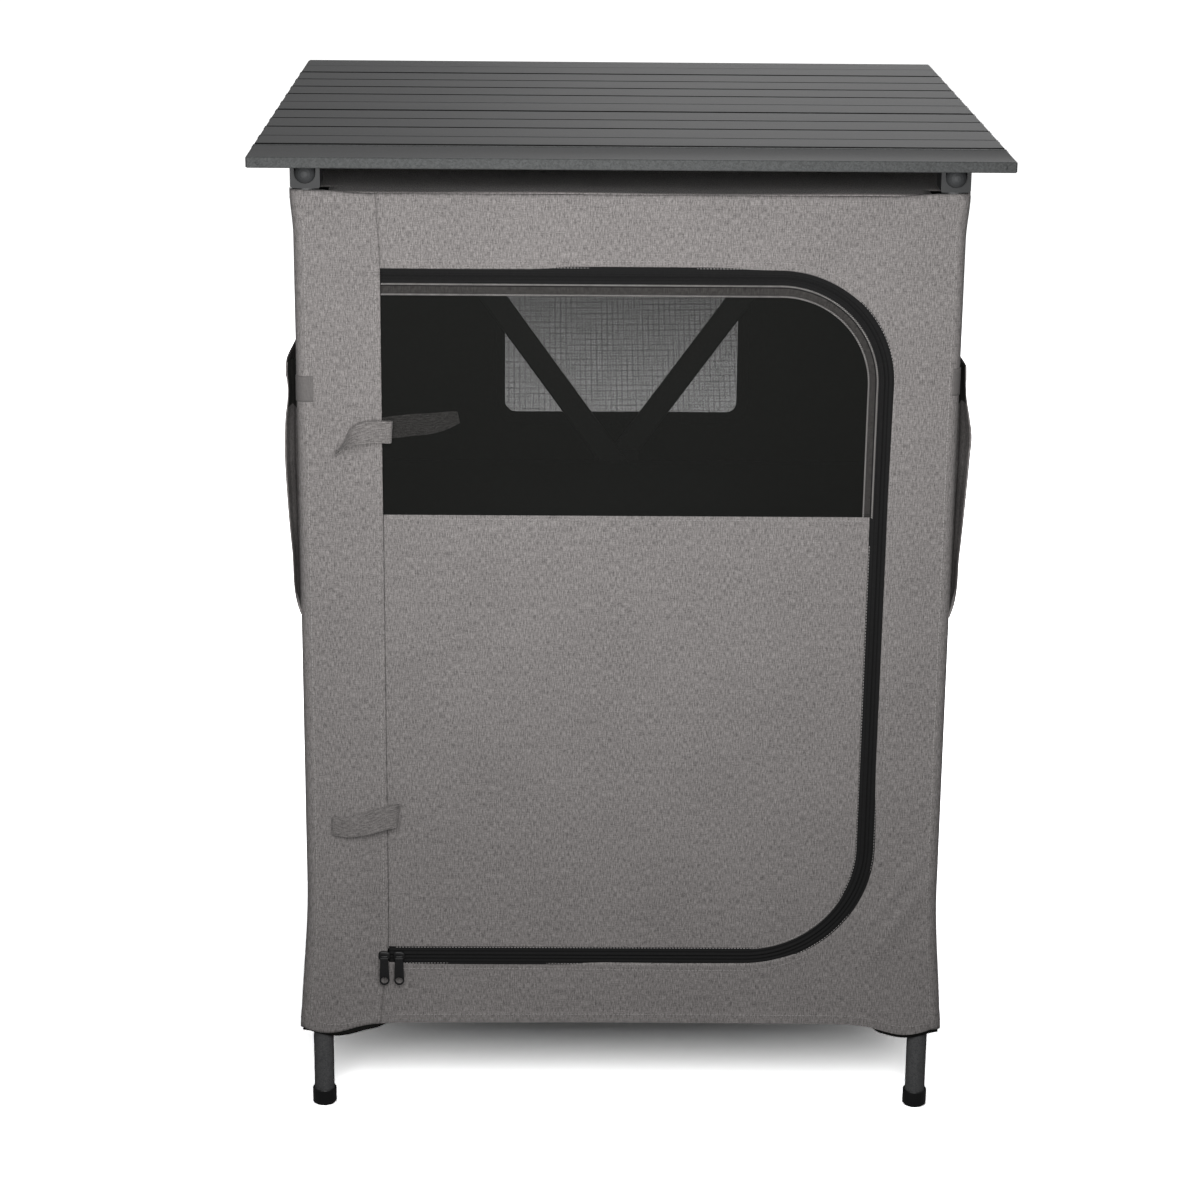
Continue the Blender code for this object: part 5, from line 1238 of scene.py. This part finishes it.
foot_x = np.linspace(SEAM_X + 0.006, 0.215, 300)
foot_z = np.full_like(foot_x, NET_FOOT - 0.0035)
path = np.stack([foot_x, -BODY_HALF + door_back(foot_x, foot_z), foot_z], -1)
rows = [stitches(path, FRONT_OUT)]
inside = zip_line(-TAPE_HALF - 0.0016)[stop + 6 : -2]
path = np.stack([inside[:, 0], -BODY_HALF + door_back(inside[:, 0], inside[:, 1]), inside[:, 1]], -1)
rows.append(stitches(path, FRONT_OUT, pitch=0.0029, length=0.0021))
door_stitches = piece("door_stitches", rows, [thread_grey])
on_left_frame(door_stitches, None, body="door")

# The zip: two black woven tapes with raised ribs, one sewn to the surround and one to the door, meet
# over a hidden coil, drawn as one plain strip. Two black sliders wait at the lower left, each with a
# tapered pull with a round eye.
TAPE_FACE = -0.2950
TAPE_FROM_MIDDLE, TAPE_UNDER = 0.00015, 0.0024
zip_cloth = finish_of(
    "zip_tape_weave", {"Specular IOR Level": 0.3}, melange, "UV", bump=0.0002, strength=0.4,
    Colour=(0.0100, 0.0100, 0.0102, 1), Contrast=0.35, Thread=1300.0,
)
zip_enamel = finish_of(
    "black_zip_enamel", {"Specular IOR Level": 0.5}, moulded, bump=0.00003, strength=0.4,
    Colour=(0.0095, 0.0095, 0.0100, 1), Grain=1500.0, Gloss=0.34,
)


def tape_half(name, near, far, body, node_name):
    """A tape carried along the zip's run: across it, rounded ribs (a raised cosine) and a lip that
    rises over the coil at the middle."""
    across = np.linspace(near, far, 41)
    share = (across - near) / (far - near)
    fade = np.sin(np.pi * np.clip(share * 1.02, 0, 1)) ** 0.3
    rib = 0.00055 * (0.5 - 0.5 * np.cos(share * 2 * math.pi * 2.5)) * fade
    coil = 0.00075 * np.exp(-(((share - 0.16) / 0.12) ** 2))
    runs = np.stack([zip_line(offset) for offset in across], 1)
    x, z = runs[..., 0], runs[..., 1]
    y = np.broadcast_to(TAPE_FACE + 0.0006 - (rib + coil)[None], x.shape)
    gone = np.concatenate([[0], np.cumsum(np.linalg.norm(np.diff(zip_line(0.0), axis=0), axis=1))])
    uv = np.stack([np.broadcast_to(gone[:, None], x.shape), np.broadcast_to(across[None], x.shape)], -1)
    tape = piece(name, [grid(np.stack([x, y, z], -1), uv, turn=(far < near))], [zip_cloth])
    thicken(tape, 0.0007)
    on_left_frame(tape, node_name, body=body)
    return tape


middle = zip_line(0.0)
outwards = zip_line(0.001) - middle
coil_path = np.column_stack([middle[:, 0], np.full(len(middle), TAPE_FACE + 0.0013), middle[:, 1]])
outwards = np.column_stack([outwards[:, 0], np.zeros(len(middle)), outwards[:, 1]])
coil = piece("zip_coil", [tube_along(coil_path, 0.0016, 0.0006, outwards)], [zip_cloth])
on_left_frame(coil, "zip_tape_surround")
tape_outer = tape_half(
    "zip_tape_half_surround", TAPE_FROM_MIDDLE, TAPE_HALF + TAPE_UNDER, "left_frame", "zip_tape_surround"
)
tape_inner = tape_half(
    "zip_tape_half_door", -TAPE_FROM_MIDDLE, -TAPE_HALF - TAPE_UNDER, "door", "zip_tape_door"
)

PULL_Y, PULL_TOP_Z, PULL_LONG = -0.2990, 0.1566, 0.0275
HALF_TOP, EYE_RADIUS, TIP_RADIUS = 0.0037, 0.0033, 0.0047
SLIDER_Z = 0.1575
SLIDER_X = (-0.2221, -0.2083)


def slider_parts(x0):
    """The slider's body, a crowned shield whose outline is a superellipse that narrows to one side, and
    the bridge that carries the pull, an arch over its face."""
    turn = np.linspace(0, 2 * math.pi, 36, endpoint=False)
    flat_x = np.sign(np.cos(turn)) * np.abs(np.cos(turn)) ** 0.55
    flat_z = np.sign(np.sin(turn)) * np.abs(np.sin(turn)) ** 0.55
    half_z = 0.0045 - 0.0010 * (flat_x > 0) * flat_x**2
    levels = [
        (0.86, -0.2951), (1.0, -0.2955), (1.0, -0.2966), (0.93, -0.2973), (0.70, -0.2977), (0.30, -0.2978),
    ]
    rings = [
        np.column_stack([x0 + 0.0055 * flat_x * s, np.full(36, y), SLIDER_Z + half_z * flat_z * s])
        for s, y in levels
    ]
    arch = np.linspace(0, math.pi, 15)
    bridge_y = -0.2976 - 0.0010 * np.sin(arch) ** 0.6
    bridge = np.column_stack([x0 + 0.0033 * np.cos(arch), bridge_y, np.full(15, PULL_TOP_Z + 0.0004)])
    return [
        grid(np.stack(rings), around=True, ends=True, turn=True),
        tube_along(bridge, 0.0011, 0.00055, (0, 0, 1)),
    ]


def pull_plate(x0):
    """A plate that widens from a narrow top to a round tip with an eye. Each ray from the eye carries a
    rounded edge profile from the eye's rim out to the outline and back."""
    eye_z = PULL_TOP_Z - PULL_LONG + TIP_RADIUS
    tall = PULL_TOP_Z - eye_z
    ray = np.linspace(0, 2 * math.pi, 72, endpoint=False)
    ray = np.unique(np.concatenate([ray, math.pi / 2 + np.linspace(-0.26, 0.26, 25)]))
    way_x, way_z = np.cos(ray), np.sin(ray)
    slope = (TIP_RADIUS - HALF_TOP) / tall
    side_reach = TIP_RADIUS / (np.abs(way_x) + slope * np.maximum(way_z, 0) + 1e-9)
    top_reach = tall / np.maximum(way_z, 1e-9)
    reach = np.where(way_z > 0, np.minimum(side_reach, top_reach), TIP_RADIUS)
    edge = [(0.0, 0.5), (0.03, 0.85), (0.10, 1.0), (0.90, 1.0), (0.97, 0.85), (1.0, 0.5)]
    profile = np.array([(out, -thick) for out, thick in edge] + edge[::-1])
    length = EYE_RADIUS + (reach - EYE_RADIUS)[:, None] * profile[:, 0]
    points = np.empty((len(ray), len(profile), 3))
    points[..., 0] = x0 + way_x[:, None] * length
    points[..., 1] = PULL_Y + 0.0008 * profile[:, 1]
    points[..., 2] = eye_z + way_z[:, None] * length
    return grid(points, looped=True, around=True, turn=True)


for number, x0, body in ((1, SLIDER_X[0], "left_frame"), (2, SLIDER_X[1], "slider_2")):
    slider = piece(f"zip_slider_{number}_body", slider_parts(x0), [zip_enamel], sharp=50)
    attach(slider, body)
    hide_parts(f"slider_{number}")
    pull = piece(f"zip_pull_{number}_plate", [pull_plate(x0)], [zip_enamel], sharp=50)
    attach(pull, f"pull_{number}")
    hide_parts(f"pull_{number}")

# The straps that tie up the rolled door: strips of the grey cloth, doubled and sewn into the upright
# seam in pairs, one outside and one inside. They hang loose, so each bends and twists a little.
strap_cloth = finish_of(
    "strap_cloth", {"Specular IOR Level": 0.15, "Sheen Weight": 0.2}, melange, "UV", bump=0.0004,
    strength=0.4, Colour=(0.215, 0.202, 0.197, 1), Contrast=1.0, Thread=1200.0,
)


def smooth_through(values, keys, at):
    """A curve through values at keys, read at the places at: cubic pieces
    (2t^3 - 3t^2 + 1) a + (3t^2 - 2t^3) b + (t^3 - 2t^2 + t) c + (t^3 - t^2) d, with c and d the slopes."""
    values, keys = np.asarray(values, float), np.asarray(keys, float)
    slope = np.gradient(values, keys, axis=0)
    k = np.clip(np.searchsorted(keys, at, side="right") - 1, 0, len(keys) - 2)
    h = keys[k + 1] - keys[k]
    t = (at - keys[k]) / h
    if values.ndim == 2:
        t, h = t[:, None], h[:, None]
    value = (2 * t**3 - 3 * t**2 + 1) * values[k] + (3 * t**2 - 2 * t**3) * values[k + 1]
    return value + (t**3 - 2 * t**2 + t) * h * slope[k] + (t**3 - t**2) * h * slope[k + 1]


def strap(name, path, widths, leans, thick, body, node_name, ripple=0.0004):
    """A strap along a centre path, given as rows (x, y, z): at each point its half width runs along a
    direction leaning by an angle from upright, in the plane across the path."""
    keys = np.linspace(0, 1, len(path))
    at = np.linspace(0, 1, 90)
    centre, half, lean = (smooth_through(values, keys, at) for values in (path, widths, leans))
    along = np.gradient(centre, axis=0)
    along /= np.linalg.norm(along, axis=1, keepdims=True)
    upright_ = np.array([0.0, 0.0, 1.0]) - along[:, 2:] * along
    upright_ /= np.linalg.norm(upright_, axis=1, keepdims=True)
    out = np.cross(upright_, along)
    wide = np.cos(lean)[:, None] * upright_ + np.sin(lean)[:, None] * out
    across = np.linspace(-1, 1, 13)
    points = centre[:, None] + wide[:, None] * (half[:, None] * across)[..., None]
    wave = ripple * np.sin(at[:, None] * 23) * across[None] ** 2
    points = points + out[:, None] * wave[..., None]
    gone = np.concatenate([[0], np.cumsum(np.linalg.norm(np.diff(centre, axis=0), axis=1))])
    across_uv = np.broadcast_to(across[None] * half.mean(), (90, 13))
    uv = np.stack([across_uv, np.broadcast_to(gone[:, None], (90, 13))], -1)
    made = piece(name, [grid(points, uv)], [strap_cloth])
    wall = made.modifiers.new("wall", "SOLIDIFY")
    wall.thickness, wall.offset = thick, 0.0
    round_off = made.modifiers.new("soft_edge", "BEVEL")
    round_off.width, round_off.segments, round_off.limit_method = thick * 0.3, 2, "ANGLE"
    on_left_frame(made, node_name, body=body)
    return made


strap(
    "strap_upper_outside",
    [(-0.2175, -0.2944, 0.6620), (-0.2112, -0.2968, 0.6622), (-0.2092, -0.3002, 0.6626),
     (-0.2128, -0.3030, 0.6628), (-0.2260, -0.3024, 0.6628), (-0.2380, -0.3030, 0.6610),
     (-0.2480, -0.3022, 0.6545), (-0.2550, -0.2990, 0.6460), (-0.2585, -0.2966, 0.6400)],
    [0.0096, 0.0096, 0.0098, 0.0098, 0.0096, 0.0094, 0.0084, 0.0060, 0.0030],
    [0.0, 0.05, 0.05, 0.0, -0.10, -0.55, -0.95, -1.1, -1.1],
    0.0011, "left_frame", "strap_outer_upper",
)
strap(
    "strap_lower_outside",
    [(-0.2190, -0.2944, 0.2985), (-0.2115, -0.2972, 0.2992), (-0.2080, -0.3010, 0.2998),
     (-0.2110, -0.3046, 0.2996), (-0.2240, -0.3042, 0.2965), (-0.2390, -0.3012, 0.2905),
     (-0.2540, -0.2994, 0.2875), (-0.2680, -0.2975, 0.2880)],
    [0.0100, 0.0104, 0.0108, 0.0108, 0.0104, 0.0100, 0.0098, 0.0096],
    [0.05, 0.10, 0.10, 0.05, -0.05, -0.15, 0.0, 0.10],
    0.0011, "left_frame", "strap_outer_lower",
)
strap(
    "strap_upper_inside",
    [(-0.2165, -0.2928, 0.6640), (-0.2020, -0.2905, 0.6655), (-0.1880, -0.2895, 0.6668),
     (-0.1740, -0.2890, 0.6680), (-0.1600, -0.2895, 0.6712), (-0.1500, -0.2905, 0.6742)],
    [0.0100, 0.0100, 0.0098, 0.0092, 0.0076, 0.0052],
    [0.0, 0.05, 0.10, 0.15, 0.25, 0.30],
    0.0011, "left_frame", "strap_inner_upper",
)

# The side pockets: one flat pocket on each side, its outer wall held off by a folded gusset at the
# front and rear. The top hem is doubled, and a flat webbing tab ties its front corner to the body.
POCKET_LOW, POCKET_HIGH = 0.4900, 0.7240
POCKET_FRONT = 0.2905
POCKET_HEM = 0.0130
POCKET_SWELL = {
    "left": [
        (0.490, -0.0016), (0.496, 0.0008), (0.550, 0.0062), (0.600, 0.0095), (0.640, 0.0108),
        (0.670, 0.0098), (0.700, 0.0068), (0.715, 0.0080), (0.724, 0.0075),
    ],
    "right": [
        (0.490, -0.0016), (0.496, 0.0008), (0.550, 0.0060), (0.600, 0.0092), (0.640, 0.0112),
        (0.660, 0.0120), (0.675, 0.0098), (0.695, 0.0060), (0.724, 0.0040),
    ],
}
GUSSET = [(0.00, 0.2860), (0.18, 0.2810), (0.50, 0.2725), (0.72, 0.2800), (0.86, 0.2893)]
BLACK_SHADE_BELOW_TAB = 0.0060
TAB_OUT = 0.0008
TAB_SPANS = {"left": (0.2780, 0.6885, 0.7115), "right": (0.2872, 0.6973, 0.7215)}
# The gusset flaps are the same grey cloth as the pocket, painted darker as the shade in their folds, and
# painted black with the lining from just below the tab up, as the deeper shade there.
pocket_gusset_shade = finish_of(
    "pocket_gusset_painted_shade", {"Specular IOR Level": 0.15}, melange, "UV", bump=0.0004, strength=0.4,
    Colour=(0.085, 0.080, 0.078, 1), Contrast=1.0,
)
tab_webbing = finish_of(
    "tab_webbing", {"Specular IOR Level": 0.2, "Sheen Weight": 0.1}, melange, "UV", bump=0.0003,
    strength=0.4, Colour=(0.180, 0.170, 0.166, 1), Contrast=0.35, Thread=1500.0,
)
rise = np.concatenate([np.linspace(0, 0.93, 60), np.linspace(0.94, 1.0, 10)])
z = POCKET_LOW + (POCKET_HIGH - POCKET_LOW) * rise
base = body_edge(z) + 0.0005
wall_y = np.linspace(-POCKET_FRONT, POCKET_FRONT, 120)
for side, way in x_ways.items():
    phase = 0.3 if side == "left" else 1.7
    body = f"{side}_frame"
    swell_z, swell = zip(*POCKET_SWELL[side])
    depth = smooth_through(swell, swell_z, z)
    fold = 0.0022 * np.sin(rise * 21 + phase) * np.sin(np.pi * rise)
    sag = 0.0014 * np.sin(wall_y[:, None] * 15 + phase) * np.sin(np.pi * rise) ** 0.6
    sag = sag + 0.0008 * np.sin(wall_y[:, None] * 37 + rise * 5 + phase) * ramp(rise, 0.3, 0.9)
    at_front = ramp(POCKET_FRONT - np.abs(wall_y), 0.0, 0.02)[:, None]
    wall_x = base + depth + sag * ramp(rise, 0.02, 0.12) * at_front + 0.0005 * ramp(rise, 0.940, 0.948)
    flaps = []
    for end in (-1, 1):
        outs, backs = np.array(GUSSET if end < 0 else GUSSET[::-1])[:, :, None].transpose(1, 0, 2)
        flaps.append((base + depth * outs, end * (backs + fold * np.sin(np.pi * outs))))
    x = np.vstack([flaps[0][0], wall_x, flaps[1][0]])
    y = np.vstack([flaps[0][1], np.broadcast_to(wall_y[:, None], wall_x.shape), flaps[1][1]])
    rim_wave = 0.0012 * np.cos(y * 9) * ramp(rise, 0.5, 1.0)
    points = np.stack([way * x, y, z + rim_wave], -1)
    gone = np.concatenate([[0], np.cumsum(np.hypot(np.diff(x, axis=0), np.diff(y, axis=0)).mean(1))])
    uv = np.stack([np.broadcast_to(gone[:, None], x.shape), np.broadcast_to(z, x.shape)], -1)
    pocket = piece(f"pocket_cloth_{side}", [grid(points, uv, turn=(way < 0))], [linen, pocket_gusset_shade, lining])
    # Painted shade on the gusset flaps: the darker cloth colour below, the black lining from just below the
    # tab up.
    column = np.repeat(np.arange(len(x) - 1), len(rise) - 1)
    in_flap = (column < len(GUSSET) - 1) | (column >= len(x) - len(GUSSET))
    black_shade_from = TAB_SPANS[side][1] - BLACK_SHADE_BELOW_TAB
    above = np.tile(z[1:] > black_shade_from, len(x) - 1)
    pocket.data.polygons.foreach_set("material_index", (in_flap * (1 + above)).astype(np.int32))
    thicken(pocket, 0.0009)
    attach(pocket, body)
    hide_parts(f"pocket_{side}")
    near = int(np.argmin(np.abs(z - (POCKET_HIGH - POCKET_HEM))))
    rows = [stitches(points[8:-8, level], (way, 0, 0)) for level in (near, 2)]
    pocket_stitches = piece(f"pocket_stitches_{side}", rows, [thread_grey])
    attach(pocket_stitches, body)

    # The tab's run in plan: along the front face, then round the corner on a larger radius.
    start, tab_low, tab_high = TAB_SPANS[side]
    centre = BODY_HALF - TURN_ROUND
    radius = TURN_ROUND + TAB_OUT
    flat_x = np.linspace(min(start, centre), centre, 6)
    first = -math.acos(np.clip((start - centre) / radius, 0, 1))
    bend = np.linspace(first, -0.10, 14)
    run_x = centre - 0.0009 + radius * np.cos(bend)
    run_y = -centre + radius * np.sin(bend)
    if start < centre:
        run_x = np.concatenate([flat_x[:-1], run_x])
        run_y = np.concatenate([np.full(5, -centre - radius), run_y])
    tab_z = np.linspace(tab_low, tab_high, 12)
    gone = np.concatenate([[0], np.cumsum(np.hypot(np.diff(run_x), np.diff(run_y)))])
    x, z_tab = np.meshgrid(run_x, tab_z, indexing="ij")
    z_tab = z_tab - 0.04 * gone[:, None]
    points = np.stack([way * x, np.broadcast_to(run_y[:, None], x.shape), z_tab], -1)
    uv = np.stack([np.broadcast_to(gone[:, None], x.shape), z_tab], -1)
    tab = piece(f"pocket_tab_{side}", [grid(points, uv, turn=(way < 0))], [tab_webbing])
    thicken(tab, 0.0009)
    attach(tab, body)
    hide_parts(f"pocket_{side}")

# The middle shelf and the floor: boards sewn into black lining cloth, bound along the front edge, the
# shelf hung from the panels and the floor resting on the side bars.
BOARD_BEHIND_DOOR = 0.0045
PAST_LEG = 0.266
board_cloth = finish_of(
    "black_board_cloth", {"Specular IOR Level": 0.2}, melange, "UV", bump=0.0003, strength=0.3,
    Colour=(0.0070, 0.0070, 0.0070, 1), Contrast=0.5,
)
for label, cad_node, phase in (("shelf", "mid_shelf", 0.4), ("floor", "floor_panel", 1.9)):
    low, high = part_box(cad_node)
    lines_x = np.linspace(low.x + 0.0015, high.x - 0.0015, 44)
    lines_y = np.linspace(low.y + BOARD_BEHIND_DOOR, high.y - 0.0015, 44)
    x, y = np.meshgrid(lines_x, lines_y, indexing="ij")
    share_x = (x - low.x) / (high.x - low.x)
    share_y = (y - low.y) / (high.y - low.y)
    sag = 0.0012 * np.sin(np.pi * share_x) * np.sin(np.pi * share_y)
    sag = sag + 0.0003 * np.sin(x * 31 + phase) * np.sin(y * 27)
    middle_x, middle_y = (x[:-1, :-1] + x[1:, 1:]) / 2, (y[:-1, :-1] + y[1:, 1:]) / 2
    keep = ~((np.abs(middle_x) > PAST_LEG) & (np.abs(middle_y) > PAST_LEG))
    points = np.stack([x, y, high.z - 0.0004 - sag], -1)
    board = piece(f"{label}_board_cover", [grid(points, np.stack([x, y], -1), keep=keep)], [board_cloth])
    thicken(board, 0.0030)
    on_left_frame(board, cad_node)
    rim_y = low.y + BOARD_BEHIND_DOOR + 0.0003
    path = np.stack([np.linspace(-0.262, 0.262, 60), np.full(60, rim_y), np.full(60, high.z - 0.0019)], -1)
    rim_cord = tube_along(path, 0.0021, 0.0011, (0, 0, 1))
    rim_piece = piece(f"{label}_front_binding", [rim_cord], [binding_tape])
    on_left_frame(rim_piece, None)

# The corner patches: doubled black cloth inside the lower hem at each corner, which shows a few
# millimetres below the grey cloth.
PATCH_TALL, PATCH_SHOWS = 0.020, 0.0034
PATCH_INSET, PATCH_CHORD = 0.0018, 0.0085
PATCH_SIDE_END = 0.2300
parts = []
for way_x, way_y, inner_x in ((-1, -1, 0.2190), (1, -1, 0.2347), (-1, 1, 0.2347), (1, 1, 0.2347)):
    edge = body_edge(HEM_LOW)
    run_x = np.concatenate([np.linspace(inner_x, edge - PATCH_CHORD, 30), np.full(30, edge - PATCH_INSET)])
    side_y = np.linspace(BODY_HALF - PATCH_CHORD, PATCH_SIDE_END, 30)
    run_y = np.concatenate([np.full(30, BODY_HALF - PATCH_INSET), side_y])
    hem = np.concatenate([hem_low(run_x[:30]), hem_low(run_y[30:])])
    share = np.linspace(0, 1, 60)
    below = 0.0004 + PATCH_SHOWS * ramp(np.minimum(share, 1 - share), 0.0, 0.08)
    z = (hem - below)[:, None] + (PATCH_TALL + below[:, None]) * np.linspace(0, 1, 8)
    x = run_x[:, None] * body_edge(z) / edge
    points = np.stack([way_x * x, np.broadcast_to(way_y * run_y[:, None], z.shape), z], -1)
    gone = np.concatenate([[0], np.cumsum(np.hypot(np.diff(run_x), np.diff(run_y)))])
    uv = np.stack([np.broadcast_to(gone[:, None], z.shape), z], -1)
    parts.append(grid(points, uv, turn=(way_x * way_y > 0)))
patches = piece("hem_corner_patches", parts, [lining])
thicken(patches, 0.0005)
on_left_frame(patches, None)
